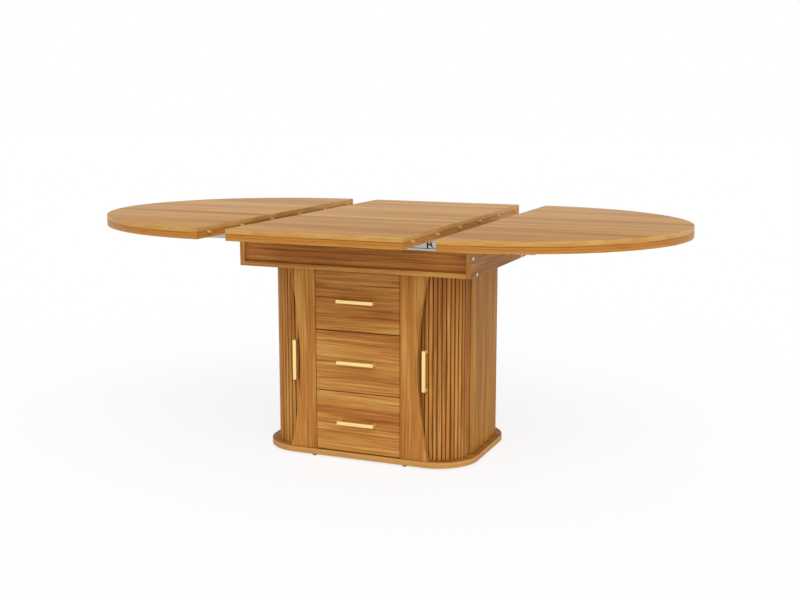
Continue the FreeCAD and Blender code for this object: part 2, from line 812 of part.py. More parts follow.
def make_handle(label, length):
    """A square-edged bar pull on two legs, drawn flat on the XY plane and standing out along -Y."""
    body = new_body(label)
    outline = new_sketch(body, label + "_outline", "XY_Plane")
    half, reach = length / 2, -size.handle_reach
    inner, under = half - size.handle_leg, reach + size.handle_bar
    draw_outline(outline, [(-half, 0), (-half, reach), (half, reach), (half, 0),
                           (inner, 0), (inner, under), (-inner, under), (-inner, 0)])
    bar = pad(body, outline, size.handle_height, label + "_pad", midplane=True)

    def outer_edge(edge):
        return edge.BoundBox.YMax < reach.number + TOUCH

    ease_edges(body, bar, "PartDesign::Chamfer", size.handle_chamfer, outer_edge, label + "_ease")
    return keep(body)


def runner(label, side, web, lip, y, z):
    """A pressed runner: a flat web at one face with two flanges towards the other."""
    metal = size.runner_metal
    low, high = (web, lip) if web.number < lip.number else (lip, web)
    stock = slab(label + "_stock", mirrored(side, low, high), y, z)
    inside = (web + metal, lip + ROOM) if web.number < lip.number else (lip - ROOM, web - metal)
    beyond = (y[0] - ROOM, y[1] + ROOM)
    hollow = slab(label + "_hollow", mirrored(side, *inside), beyond, (z[0] + metal, z[1] - metal))
    return cut(label, stock, hollow)


def make_drawer(level):
    name = f"drawer_{DRAWERS[level]}"
    base = drawer_base(level)
    floor = base + size.drawer_rise
    wall_z = (floor, floor + size.drawer_wall_height)
    half_front = opening_edge - size.drawer_side_gap
    inner = drawer_half - size.drawer_wall
    keep(slab(f"{name}_front", (-half_front, half_front), (-size.front_reach, stile_back),
              (base, base + front_height)))
    depth = (stile_back, drawer_back)
    sides = [slab(f"{name}_side_{SIDE_NAMES[s]}", mirrored(s, inner, drawer_half), depth, wall_z)
             for s in (LEFT, RIGHT)]
    keep(group(f"{name}_sides", sides))
    keep(slab(f"{name}_back", (-inner, inner), (drawer_back - size.drawer_wall, drawer_back), wall_z))
    keep(slab(f"{name}_bottom", (-drawer_half, drawer_half), depth, (floor - size.drawer_bottom, floor)))
    handle = make_handle(f"{name}_handle", size.drawer_handle_length)
    move(handle, 0, -size.front_reach, base + front_height / 2)
    runner_base = floor + (size.drawer_wall_height - size.runner_height) / 2
    y = (stile_back + size.runner_inset, stile_back + size.runner_inset + size.runner_length)
    gap = size.runner_metal + size.runner_clearance
    case_z = (runner_base, runner_base + size.runner_height)
    slide_z = (case_z[0] + gap, case_z[1] - gap)
    case_x = (partition_face, partition_face - size.runner_lap)
    slide_x = (drawer_half, opening_edge - size.runner_clearance)
    fixed, moving = [], []
    for side in (LEFT, RIGHT):
        end = SIDE_NAMES[side]
        fixed.append(runner(f"{name}_case_runner_{end}", side, *case_x, y, case_z))
        moving.append(runner(f"{name}_slide_runner_{end}", side, *slide_x, y, slide_z))
    keep(group(f"cabinet_runners_{DRAWERS[level]}", fixed))
    keep(group(f"{name}_runners", moving))


def make_door(side):
    """Tambour door: bevelled upright slats on a canvas, curved round the pedestal's front corner."""
    name = f"{SIDE_NAMES[side]}_door"
    body = new_body(f"{name}_slats")
    half, crest = size.slat_half_width, size.slat_crest / 2
    shoulder = crest_radius - size.slat_chamfer
    face = new_sketch(body, f"{name}_slat_outline", "XY_Plane", door_z[0])
    draw_outline(face, [(slat_base_radius, -half), (shoulder, -half), (crest_radius, -crest),
                        (crest_radius, crest), (shoulder, half), (slat_base_radius, half)])
    slat = pad(body, face, door_z[1] - door_z[0], f"{name}_slat")
    tongue_low = plinth_top - size.groove_depth + size.tongue_inset
    tongue_high = apron_base + size.groove_depth - size.tongue_inset
    end = new_sketch(body, f"{name}_tongue_outline", "XY_Plane", tongue_low)
    width = size.tongue_half_width
    draw_outline(end, [(tongue_inner, -width), (tongue_outer, -width),
                       (tongue_outer, width), (tongue_inner, width)])
    tongue = pad(body, end, tongue_high - tongue_low, f"{name}_tongue")
    row = body.newObject("PartDesign::PolarPattern", f"{name}_row")
    row.Originals = [slat, tongue]
    row.Axis = (origin_part(body, "Z_Axis"), [""])
    row.Mode = "Spacing"
    bind(row, "Offset", size.slat_pitch_angle)
    bind(row, "Occurrences", size.slat_count)
    body.Tip = row
    first = front_angle(side, size.slat_first_angle, size.slat_pitch_angle * (size.slat_count - 1))
    turn(body, FreeCAD.Rotation(UP, first.number))
    keep(move(body, *door_centre(side), 0))

    cloth = slat_base_radius - size.canvas_gap
    keep(ring(f"{name}_canvas", cloth - size.canvas_thickness, cloth, door_z, door_centre(side),
              front_angle(side, door_first, door_sweep), door_sweep))

    angle = size.slat_first_angle + size.slat_pitch_angle * size.handle_slat_number
    handle = make_handle(f"{name}_handle", size.door_handle_length)
    upright = FreeCAD.Rotation(FreeCAD.Vector(0, 1, 0), -90)
    turn(handle, FreeCAD.Rotation(UP, side * angle.number).multiply(upright))
    move(handle, side * (corner_x + crest_radius * sine(angle)), -(corner_y + crest_radius * cosine(angle)),
         plinth_top + size.door_handle_rise)


def check_and_export():
    """Stop on any failed object or bad solid, then write one file per piece."""
    doc.recompute()
    failed = [thing.Label for thing in doc.Objects if {"Invalid", "Error"} & set(thing.State)]
    if failed:
        raise RuntimeError(f"failed objects: {failed}")
    for thing in nodes:
        if thing.Shape.isNull() or not thing.Shape.isValid() or not thing.Shape.Solids:
            raise RuntimeError(f"{thing.Label} is not a sound solid")
    os.makedirs("parts", exist_ok=True)
    for thing in nodes:
        thing.Shape.exportStep(f"parts/{thing.Label}.step")
        volume = thing.Shape.Volume / CUBIC_CENTIMETRE
        print(f"{thing.Label}: {len(thing.Shape.Solids)} solid(s), {volume:.1f} cm3")


make_plinth()
make_feet()
for side in (LEFT, RIGHT):
    make_partition(side)
    make_stile(side)
    make_side_panel(side)
    make_shelf(side)
make_back()
make_shelf_battens()
make_apron()
make_bolts()
for place in ENDS:
    make_channel(place)
make_catches()
for side in (LEFT, RIGHT):
    make_end_leaf(side)
    for place in ENDS:
        make_rail(side, place)
make_centre_leaf()
make_dowels("left_leaf_dowels", -leaf_edge)
make_dowels("centre_leaf_dowels", centre_half)
for level in range(len(DRAWERS)):
    make_drawer(level)
for side in (LEFT, RIGHT):
    make_door(side)
check_and_export()
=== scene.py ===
# %% [markdown]
# # An extending dining table, dressed for the studio
# The solids of the table come from a drawing made elsewhere, in metres, with the floor at z = 0, the
# drawers facing -Y and the table running along X. This lesson keeps those solids where they look right,
# gives every surface a wood, metal or cloth finish made from nodes, and rebuilds the pieces whose charm
# is in small shapes: the eased boards, the slatted doors, the handles, dowels and bolts.

# %% Load the frame
import json
import math

import bmesh
import bpy
from mathutils import Matrix, Vector


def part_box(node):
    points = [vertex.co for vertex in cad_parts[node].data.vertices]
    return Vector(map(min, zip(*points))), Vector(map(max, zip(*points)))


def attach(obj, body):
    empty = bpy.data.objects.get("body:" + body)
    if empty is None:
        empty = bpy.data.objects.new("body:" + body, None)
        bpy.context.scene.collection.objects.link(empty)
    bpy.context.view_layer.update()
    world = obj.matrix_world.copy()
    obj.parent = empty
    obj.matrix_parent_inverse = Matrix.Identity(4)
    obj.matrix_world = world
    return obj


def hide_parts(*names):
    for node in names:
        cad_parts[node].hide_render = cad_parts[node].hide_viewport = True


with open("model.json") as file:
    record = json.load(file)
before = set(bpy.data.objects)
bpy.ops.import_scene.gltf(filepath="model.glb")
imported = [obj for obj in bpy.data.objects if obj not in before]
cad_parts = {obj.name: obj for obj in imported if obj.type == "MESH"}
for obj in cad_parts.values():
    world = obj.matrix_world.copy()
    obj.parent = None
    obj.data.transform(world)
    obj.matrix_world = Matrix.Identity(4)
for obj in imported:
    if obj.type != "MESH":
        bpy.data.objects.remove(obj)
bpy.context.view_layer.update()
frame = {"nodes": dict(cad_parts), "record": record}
nodes = frame["nodes"]
MM = 0.001

# %% [markdown]
# ## Tools for finishes
# Colours are written as they look on a screen, in sRGB hex, and shaders work in linear light, so one
# function turns one into the other. The next adds a node, sets it and links it, which keeps each
# material readable as a recipe. The others start a material, colour a ramp and link up the shader.

# %% Colours and nodes
def linear(hex_colour):
    """Linear RGBA of an sRGB hex value, by the curve of that standard."""
    channels = [int(hex_colour[i:i + 2], 16) / 255 for i in (1, 3, 5)]
    return [c / 12.92 if c <= 0.04045 else ((c + 0.055) / 1.055) ** 2.4 for c in channels] + [1.0]


def put(tree, kind, links=None, **settings):
    """Add a node; links gives its inputs a source to link or a value to keep."""
    node = tree.nodes.new(kind)
    for name, value in settings.items():
        setattr(node, name, value)
    for socket, source in (links or {}).items():
        if isinstance(source, bpy.types.NodeSocket):
            tree.links.new(source, node.inputs[socket])
        else:
            node.inputs[socket].default_value = source
    return node


def new_finish(name, surface):
    """A material with its shader's plain sockets set, its node tree and that shader."""
    material = bpy.data.materials.new(name)
    material.use_nodes = True
    tree = material.node_tree
    tree.nodes.clear()
    shader = put(tree, "ShaderNodeBsdfPrincipled", surface)
    put(tree, "ShaderNodeOutputMaterial", {"Surface": shader.outputs[0]})
    return material, tree, shader


def lay_tones(ramp, stops):
    """Colour a ramp from pairs of position and hex value, in rising order."""
    elements = ramp.color_ramp.elements
    for position, tone in stops[1:-1]:
        elements.new(position)
    for element, (position, tone) in zip(elements, stops):
        element.position = position
        element.color = linear(tone)


def coat(tree, shader, colour, gloss, relief):
    """Link a pattern to what the shader shows."""
    for socket, source in (("Base Color", colour), ("Roughness", gloss), ("Normal", relief)):
        tree.links.new(source, shader.inputs[socket])


print("half grey in linear light:", round(linear("#808080")[0], 3))

# %% [markdown]
# ## Walnut veneer
# The table is faced with a satin walnut pattern: honey-gold ground, long brown streaks that wander, and
# fine lines along the grain. Real grain is a stack of growth rings cut lengthwise, so everything in it
# is far longer than it is wide. Noise on stretched coordinates gives that on every face at once, with
# no unwrapping, and each layer's stretch comes from a size measured across the grain in millimetres.

# %% Which way the grain runs
# A Mix node has inputs and an output for each kind of data under the same names, so they go by number.
NUMBER_A, NUMBER_B, VECTOR_A, VECTOR_B, COLOUR_A, COLOUR_B = range(2, 8)
NUMBER, VECTOR, COLOUR = range(3)
QUARTER = math.pi / 2
GRAIN_TURN = {"along": (0, 0, 0), "upright": (0, QUARTER, 0), "crosswise": (0, 0, QUARTER)}
WANDER_PER_METRE, WANDER_REACH = (1.6, 7, 7), 22 * MM
NOISE_MIDDLE = (0.5, 0.5, 0.5)
LOOKS_ALONG_Y = 0.7    # least share of a face's normal


def grain_place(tree, grain, shift, attribute, front_grain):
    """Object coordinates turned so that the grain runs along X, with a slow sideways drift.

    front_grain gives the faces that look along Y a grain of their own, as a glued edge strip has.
    """
    place = put(tree, "ShaderNodeTexCoord").outputs["Object"]
    if attribute:
        tag = put(tree, "ShaderNodeAttribute", attribute_name=attribute).outputs["Vector"]
        place = put(tree, "ShaderNodeVectorMath", {0: place, 1: tag}, operation="ADD").outputs[0]
    ways = []
    for way in filter(None, (grain, front_grain)):
        ways.append(put(tree, "ShaderNodeMapping", {
            "Vector": place, "Location": shift, "Rotation": GRAIN_TURN[way]}).outputs[0])
    place = ways[0]
    if front_grain:
        normal = put(tree, "ShaderNodeTexCoord").outputs["Normal"]
        facing = put(tree, "ShaderNodeSeparateXYZ", {0: normal}).outputs["Y"]
        facing = put(tree, "ShaderNodeMath", {0: facing}, operation="ABSOLUTE").outputs[0]
        facing = put(tree, "ShaderNodeMath", {0: facing, 1: LOOKS_ALONG_Y},
                     operation="GREATER_THAN").outputs[0]
        place = put(tree, "ShaderNodeMix", {"Factor": facing, VECTOR_A: ways[0], VECTOR_B: ways[1]},
                    data_type="VECTOR").outputs[VECTOR]
    # No line in a tree runs dead straight.
    drift = put(tree, "ShaderNodeMapping", {"Vector": place, "Scale": WANDER_PER_METRE}).outputs[0]
    drift = put(tree, "ShaderNodeTexNoise", {"Vector": drift, "Scale": 1, "Detail": 1.5}).outputs["Color"]
    drift = put(tree, "ShaderNodeVectorMath", {0: drift, 1: NOISE_MIDDLE}, operation="SUBTRACT").outputs[0]
    drift = put(tree, "ShaderNodeVectorMath", {0: drift, 1: (0, WANDER_REACH, WANDER_REACH)},
                operation="MULTIPLY").outputs[0]
    return put(tree, "ShaderNodeVectorMath", {0: place, 1: drift}, operation="ADD").outputs[0]


print("grain can run", sorted(GRAIN_TURN))

# %% The veneer recipe
# Widths are in millimetres across the grain, and STRETCH says how many times longer each layer is.
# Pores are a tenth of a millimetre wide on the real wood, too fine to show, so they are drawn wider.
TOP_WIDTHS = {"cloud": 140, "streak": 50, "line": 8, "pore": 2.6}
BOARD_WIDTHS = {"cloud": 44, "streak": 11, "line": 5, "pore": 2.4}
STRETCH = {"cloud": 14, "streak": 34, "line": 70, "pore": 40}
GROUND_STOPS = (0.39, 0.5, 0.61)
STREAK_FROM, STREAK_FULL = 0.52, 0.68
PORE_FROM, PORE_FULL, PORE_SHARE = 0.56, 0.74, 0.4
WOOD_IOR, VENEER_BUMP, VENEER_DEPTH = 1.5, 0.12, 0.6 * MM
SMOOTH_LINE, ROUGH_LINE = 0.36, 0.5


def veneer(name, tones, grain, widths=BOARD_WIDTHS, shift=(0, 0, 0), streak_share=0.62, shine=0.12,
           attribute=None, front_grain=None, line_share=0.55):
    """Wood finish; its four tones run from the streaks to the lightest ground."""
    material, tree, shader = new_finish(name, {"IOR": WOOD_IOR, "Specular IOR Level": shine})
    place = grain_place(tree, grain, shift, attribute, front_grain)
    layers = {}
    for layer, width in widths.items():
        across = 1 / (width * MM)
        stretched = put(tree, "ShaderNodeMapping", {
            "Vector": place, "Scale": (across / STRETCH[layer], across, across)}).outputs[0]
        layers[layer] = put(tree, "ShaderNodeTexNoise", {
            "Vector": stretched, "Scale": 1, "Detail": 3, "Roughness": 0.6}).outputs["Fac"]
    # Ground colour: broad clouds with finer lines drawn into them.
    ground = put(tree, "ShaderNodeMix", {
        "Factor": line_share, NUMBER_A: layers["cloud"], NUMBER_B: layers["line"]}).outputs[NUMBER]
    ramp = put(tree, "ShaderNodeValToRGB", {"Fac": ground})
    lay_tones(ramp, list(zip(GROUND_STOPS, tones[1:])))
    # Brown heart streaks where the streak layer peaks.
    peak = put(tree, "ShaderNodeMapRange", {
        "Value": layers["streak"], "From Min": STREAK_FROM, "From Max": STREAK_FULL,
        "To Max": streak_share}, interpolation_type="SMOOTHSTEP").outputs[0]
    colour = put(tree, "ShaderNodeMix", {
        "Factor": peak, COLOUR_A: ramp.outputs[0], COLOUR_B: linear(tones[0])},
        data_type="RGBA").outputs[COLOUR]
    # Short pores, darker and slightly sunk.
    pores = put(tree, "ShaderNodeMapRange", {
        "Value": layers["pore"], "From Min": PORE_FROM, "From Max": PORE_FULL,
        "To Max": PORE_SHARE}).outputs[0]
    colour = put(tree, "ShaderNodeMix", {"Factor": pores, COLOUR_A: colour, COLOUR_B: linear(tones[0])},
                 data_type="RGBA").outputs[COLOUR]
    gloss = put(tree, "ShaderNodeMapRange", {
        "Value": layers["line"], "From Min": 0.3, "From Max": 0.7,
        "To Min": SMOOTH_LINE, "To Max": ROUGH_LINE}).outputs[0]
    relief = put(tree, "ShaderNodeMath", {0: layers["line"], 1: pores}, operation="SUBTRACT").outputs[0]
    relief = put(tree, "ShaderNodeBump", {
        "Height": relief, "Strength": VENEER_BUMP, "Distance": VENEER_DEPTH}).outputs[0]
    coat(tree, shader, colour, gloss, relief)
    return material, tree, shader


print("veneer layers in mm:", BOARD_WIDTHS)

# %% [markdown]
# ## One veneer for each use
# A joiner picks a different sheet for each face: calm and pale for the top, lively for the drawers. The
# apron, the upper drawer front and the plinth's ledge stand back in the shade, and their darker tones are
# painted shade. So the recipe is run once for each of them, with its own tones, its own way of the grain
# and a shift, which cuts most sheets from another part of the log.

# %% Veneers for the boards
VENEERS = {
    # Broad, calm and nearly matt, because it is seen at a flat angle.
    "top": dict(tones=("#885520", "#a56f2e", "#ba8542", "#ca9b53"), grain="along", widths=TOP_WIDTHS,
                streak_share=0.6, shine=0.05, line_share=0.42),
    # Golden, with narrow level streaks and a satin gleam.
    "fronts": dict(tones=("#814316", "#9e5f28", "#b37a39", "#c79950"), grain="along",
                   shift=(0.4, 0.13, 0.07)),
    # The same log as the other fronts, more streaked; its redder, darker tones also paint the shade under
    # the apron.
    "top_drawer_in_shade": dict(tones=("#73390f", "#91561f", "#a66d2e", "#bb8b45"), grain="along",
                       shift=(0.4, 0.13, 0.07), streak_share=0.7),
    # Darker tones paint the shade that the overhanging top casts on the apron.
    "apron": dict(tones=("#6b3511", "#8e521f", "#a4682c", "#ba8441"), grain="along",
                  shift=(0.9, 0.4, 0.55)),
    # Brown grain from front to back, and an upright strip on the front edge.
    "ends": dict(tones=("#6a3a14", "#976029", "#ae783a", "#c49351"), grain="crosswise",
                 shift=(0.1, 0.5, 0.3), shine=0.05, front_grain="upright"),
    # Honey-coloured with few streaks, so that the bowed outline shows.
    "upright": dict(tones=("#854819", "#a0642a", "#b27838", "#c5954f"), grain="upright",
                    shift=(0.21, 0.31, 0.11), streak_share=0.5, shine=0.07),
    # A dark, dull face: its darker tones paint the shade that the pedestal casts on the plinth's ledge.
    "plinth": dict(tones=("#663812", "#8f5823", "#a36a2e", "#b78040"), grain="along",
                   shift=(0.3, 0.7, 0.2), shine=0.03),
    # Even upright lines with little sheen.
    "sides": dict(tones=("#6d4012", "#97601f", "#ad752b", "#c08e3e"), grain="upright",
                  shift=(0.5, 0.1, 0.9), streak_share=0.45, shine=0.05),
}
wood = {use: veneer(f"walnut_veneer_{use}", **recipe)[0] for use, recipe in VENEERS.items()}
print("veneers:", [finish.name for finish in wood.values()])

# %% [markdown]
# ## Walnut slats
# Slats are cut from many boards, so each one has its own tone. It comes from the random shift that the
# slat carries as an attribute. Shade falls in the joints between the slats, and it is painted: a second
# attribute tells how far down the flank a point lies, and the flanks are painted darker than the crests.

# %% Slat veneer
SHIFT_MOST = 3    # metres that a slat's grain may be shifted
DARKEST_SLAT, LIGHTEST_SLAT = 0.88, 1.04
# Warm, dull crests between joints darkened with painted shade.
GROOVE_SHADE, GROOVE_SHADE_FROM, GROOVE_SHADE_FULL, GROOVE_SHADE_SHARE = "#4f2409", 0.03, 0.36, 0.94
slat_veneer, tree, shader = veneer("walnut_slat", ("#793e15", "#a0642b", "#b37939", "#c6934c"), "upright",
                                   shift=(0.7, 0.02, 0.4), streak_share=0.6, shine=0.08,
                                   attribute="slat_shift")
own_shift = put(tree, "ShaderNodeAttribute", attribute_name="slat_shift").outputs["Vector"]
own_share = put(tree, "ShaderNodeSeparateXYZ", {0: own_shift}).outputs["X"]
own_tone = put(tree, "ShaderNodeMapRange", {
    "Value": own_share, "From Max": SHIFT_MOST, "To Min": DARKEST_SLAT, "To Max": LIGHTEST_SLAT}).outputs[0]
flank = put(tree, "ShaderNodeAttribute", attribute_name="flank").outputs["Fac"]
# Painted shade in the joints: the further down the flank, the darker.
groove_shade = put(tree, "ShaderNodeMapRange", {
    "Value": flank, "From Min": GROOVE_SHADE_FROM, "From Max": GROOVE_SHADE_FULL, "To Max": GROOVE_SHADE_SHARE}).outputs[0]
plain = shader.inputs["Base Color"].links[0].from_socket
plain = put(tree, "ShaderNodeVectorMath", {0: plain, "Scale": own_tone}, operation="SCALE").outputs[0]
groove_shaded = put(tree, "ShaderNodeMix", {"Factor": groove_shade, COLOUR_A: plain, COLOUR_B: linear(GROOVE_SHADE)},
              data_type="RGBA").outputs[COLOUR]
tree.links.new(groove_shaded, shader.inputs["Base Color"])
print("slat tones from", DARKEST_SLAT, "to", LIGHTEST_SLAT)

# %% [markdown]
# ## The edge strip
# Round the top's boards and the plinth runs a glued strip of the same wood. Its grain follows the edge
# and it is two-toned: a pale band above is painted highlight, the light that the rounded upper edge
# catches, then a thin dark line and redder wood below. Height alone decides the tone, so a ramp on the Z
# coordinate lays the bands, and a little noise keeps the line from being ruled.

# %% Edge strip material
# Each band's share of the height and the number of its tone.
# The pale tones at the top of the strip are painted highlight.
BANDS = ((0.05, 0), (0.1, 3), (0.2, 1), (0.33, 1), (0.38, 2), (0.43, 1), (0.53, 1), (0.6, 0), (0.67, 3),
         (0.85, 4), (1.0, 4))
# Patterns per metre: the bands waver over 110 mm along and 7 mm up, and patches are a hand wide. Grain
# lines are 1 mm apart and are drawn 3 mm apart to show.
WAVER_PER_METRE, PATCHES_PER_METRE, LINES_PER_METRE = (9, 9, 140), 11, (14, 14, 330)
WAVER_SHARE, PATCH_SHARE, LINE_SHARE = 0.12, 0.5, 0.4
STRIP_SHINE, STRIP_BUMP, STRIP_DEPTH = 0.12, 0.12, 0.5 * MM
SMOOTH_STRIP, ROUGH_STRIP = 0.32, 0.48


def edge_strip(name, board, tones):
    """Wood whose tone changes with height up the edge of a board, with a satin gleam along the grain."""
    low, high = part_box(board)
    material, tree, shader = new_finish(name, {"IOR": WOOD_IOR, "Specular IOR Level": STRIP_SHINE})
    place = put(tree, "ShaderNodeTexCoord").outputs["Object"]
    waver = put(tree, "ShaderNodeMapping", {"Vector": place, "Scale": WAVER_PER_METRE}).outputs[0]
    waver = put(tree, "ShaderNodeTexNoise", {"Vector": waver, "Scale": 1, "Detail": 3}).outputs["Fac"]
    height = put(tree, "ShaderNodeSeparateXYZ", {0: place}).outputs["Z"]
    level = put(tree, "ShaderNodeMapRange", {
        "Value": height, "From Min": low.z, "From Max": high.z}).outputs[0]
    level = put(tree, "ShaderNodeMath", {0: waver, 1: WAVER_SHARE, 2: level},
                operation="MULTIPLY_ADD").outputs[0]
    ramp = put(tree, "ShaderNodeValToRGB", {"Fac": level})
    lay_tones(ramp, [(position, tones[tone]) for position, tone in BANDS])
    # Patches drift towards the ground tone along the strip.
    patch = put(tree, "ShaderNodeTexNoise", {
        "Vector": place, "Scale": PATCHES_PER_METRE, "Detail": 2}).outputs["Fac"]
    patch = put(tree, "ShaderNodeMapRange", {
        "Value": patch, "From Min": 0.35, "From Max": 0.65, "To Max": PATCH_SHARE}).outputs[0]
    colour = put(tree, "ShaderNodeMix", {
        "Factor": patch, COLOUR_A: ramp.outputs[0], COLOUR_B: linear(tones[1])},
        data_type="RGBA").outputs[COLOUR]
    # Dark grain lines run level round the strip.
    lines = put(tree, "ShaderNodeMapping", {"Vector": place, "Scale": LINES_PER_METRE}).outputs[0]
    lines = put(tree, "ShaderNodeTexNoise", {"Vector": lines, "Scale": 1, "Detail": 3}).outputs["Fac"]
    shade = put(tree, "ShaderNodeMapRange", {
        "Value": lines, "From Min": 0.5, "From Max": 0.7, "To Max": LINE_SHARE}).outputs[0]
    colour = put(tree, "ShaderNodeMix", {"Factor": shade, COLOUR_A: colour, COLOUR_B: linear(tones[0])},
                 data_type="RGBA").outputs[COLOUR]
    gloss = put(tree, "ShaderNodeMapRange", {
        "Value": lines, "To Min": SMOOTH_STRIP, "To Max": ROUGH_STRIP}).outputs[0]
    relief = put(tree, "ShaderNodeBump", {
        "Height": lines, "Strength": STRIP_BUMP, "Distance": STRIP_DEPTH}).outputs[0]
    coat(tree, shader, colour, gloss, relief)
    return material


# Red-brown and banded, with a painted highlight along its upper part, so that the top looks thin.
top_strip = edge_strip("walnut_edge_strip", "centre_leaf_panel",
                       ("#7e4716", "#b37731", "#985f24", "#bd8b48", "#c39856"))
# Paler and more even: one light line at the foot of the table, a painted highlight along the plinth's upper
# edge.
plinth_strip = edge_strip("walnut_plinth_strip", "plinth_board",
                          ("#a0703a", "#bc8d4f", "#ae8044", "#c79b5b", "#bf9150"))
print("edge strips:", top_strip.name, plinth_strip.name)

# %% [markdown]
# ## Plain boards, metals and plastic
# The rest are quieter: printed boards inside, raw particle board in the dowel holes, plated and extruded
# metals, moulded plastic. On each of them one fine noise is enough to break up an even surface. It moves
# the colour, the roughness and a shallow bump together, and it is stretched where a tool or a die has
# drawn lines.

# %% Plain finishes
def speckled(name, tones, size_mm, stretch=(1, 1, 1), rough=(0.4, 0.6), bump=0.1, depth_mm=0.2, **surface):
    """Finish with one noise layer: size_mm is the pattern's size, stretch lengthens it on an axis."""
    material, tree, shader = new_finish(name, surface)
    place = put(tree, "ShaderNodeTexCoord").outputs["Object"]
    scale = [1 / (size_mm * MM * longer) for longer in stretch]
    place = put(tree, "ShaderNodeMapping", {"Vector": place, "Scale": scale}).outputs[0]
    grain = put(tree, "ShaderNodeTexNoise", {"Vector": place, "Scale": 1, "Detail": 4}).outputs["Fac"]
    spread = put(tree, "ShaderNodeMapRange", {"Value": grain, "From Min": 0.3, "From Max": 0.7}).outputs[0]
    colour = put(tree, "ShaderNodeMix", {
        "Factor": spread, COLOUR_A: linear(tones[0]), COLOUR_B: linear(tones[1])},
        data_type="RGBA").outputs[COLOUR]
    gloss = put(tree, "ShaderNodeMapRange", {
        "Value": spread, "To Min": rough[0], "To Max": rough[1]}).outputs[0]
    relief = put(tree, "ShaderNodeBump", {
        "Height": grain, "Strength": bump, "Distance": depth_mm * MM}).outputs[0]
    coat(tree, shader, colour, gloss, relief)
    return material


# Brush lines, die lines and mould texture are about 0.1 mm wide on the real parts. They are too fine to
# show, so they are drawn about 1 mm wide.
# Printed paper under resin: a pale, even inside with a hint of upright grain.
melamine = speckled("pale_melamine_board", ("#d8c9b0", "#e6dac4"), 9, stretch=(1, 1, 22), IOR=1.5)
# Printed foil: a flat brown underside with long faint lines.
backing = speckled("walnut_backing_foil", ("#a97b49", "#bd9060"), 12, stretch=(30, 1, 1), IOR=1.5)
# Pressed chips: matt and grainy.
raw_board = speckled("raw_particle_board", ("#9c7d52", "#d2b483"), 1.6, rough=(0.8, 0.95), bump=0.5)
# Turned from the rod: close, warm grain along the dowel.
beech = speckled("turned_beech", ("#ad7434", "#cd9b55"), 1.2, stretch=(12, 1, 1), rough=(0.45, 0.6), IOR=1.5)
# Brushed, then plated: fine lines draw the highlight out into a soft pale band.
gold = speckled("satin_gold_plating", ("#f3d27c", "#fbe6a4"), 0.9, stretch=(30, 1, 1), rough=(0.3, 0.42),
                bump=0.05, depth_mm=0.05, Metallic=0.65)
# Pressed through a die: fine lines along the slide blur what it mirrors.
aluminium = speckled("extruded_aluminium", ("#aeaca6", "#d0cec9"), 1.1, stretch=(160, 1, 1),
                     rough=(0.32, 0.46), bump=0.08, depth_mm=0.05, Metallic=0.9)
# Plated in a bath: a cool gleam in cloudy patches.
zinc = speckled("zinc_plated_steel", ("#a8aaab", "#c6c8c9"), 14, rough=(0.28, 0.45), bump=0.02,
                Metallic=1.0)
# Polished and plated: small sharp glints.
nickel = speckled("nickel_plated_steel", ("#cfcfcd", "#e4e4e2"), 1.5, rough=(0.16, 0.28), bump=0.02,
                  Metallic=1.0)
# Moulded against a sparked surface: black with a dull, even sheen.
plastic = speckled("black_moulded_plastic", ("#141414", "#1e1e1d"), 0.8, rough=(0.45, 0.6), bump=0.15,
                   IOR=1.46)
print("plain finishes:", melamine.name, gold.name, aluminium.name, "and six more")

# %% [markdown]
# ## Cotton duck
# The doors' backing is a plain weave: threads go over and under each other in both directions. Two sine
# waves at right angles, multiplied, give the little hills where a thread is on top, which the eye takes
# for a dry, matt cloth. The sheet has its own UV map in metres, so that the threads follow it round the
# corner.

# %% Canvas material
THREAD = 1.6 * MM    # about 1 mm on the real cloth, drawn coarser to show
WEAVE_BUMP, WEAVE_DEPTH = 0.5, 0.3 * MM
canvas_cloth, tree, shader = new_finish("cotton_duck_canvas", {"Roughness": 0.9})
weave = put(tree, "ShaderNodeUVMap", uv_map="cloth").outputs[0]
across = put(tree, "ShaderNodeSeparateXYZ", {0: weave}).outputs
waves = []
for axis in ("X", "Y"):
    turns = put(tree, "ShaderNodeMath", {0: across[axis], 1: math.tau / (2 * THREAD)}, operation="MULTIPLY")
    waves.append(put(tree, "ShaderNodeMath", {0: turns.outputs[0]}, operation="SINE").outputs[0])
hills = put(tree, "ShaderNodeMath", {0: waves[0], 1: waves[1]}, operation="MULTIPLY").outputs[0]
hills = put(tree, "ShaderNodeMapRange", {"Value": hills, "From Min": -1}).outputs[0]
thread_colour = put(tree, "ShaderNodeMix", {
    "Factor": hills, COLOUR_A: linear("#85714f"), COLOUR_B: linear("#b7a079")},
    data_type="RGBA").outputs[COLOUR]
thread_relief = put(tree, "ShaderNodeBump", {
    "Height": hills, "Strength": WEAVE_BUMP, "Distance": WEAVE_DEPTH}).outputs[0]
tree.links.new(thread_colour, shader.inputs["Base Color"])
tree.links.new(thread_relief, shader.inputs["Normal"])
print("canvas threads every", THREAD / MM, "mm")

# %% [markdown]
# ## Dress the drawn solids
# Rails and runners are right as they were drawn, and the boards hand their finish on to eased copies
# further down. Each gets the finish of what it is: level grain on the apron and the drawer fronts,
# upright grain on the pedestal, pale board inside. Assigning to the material slot changes nothing about
# the shape. Solids that are rebuilt as pieces of their own need no finish here.

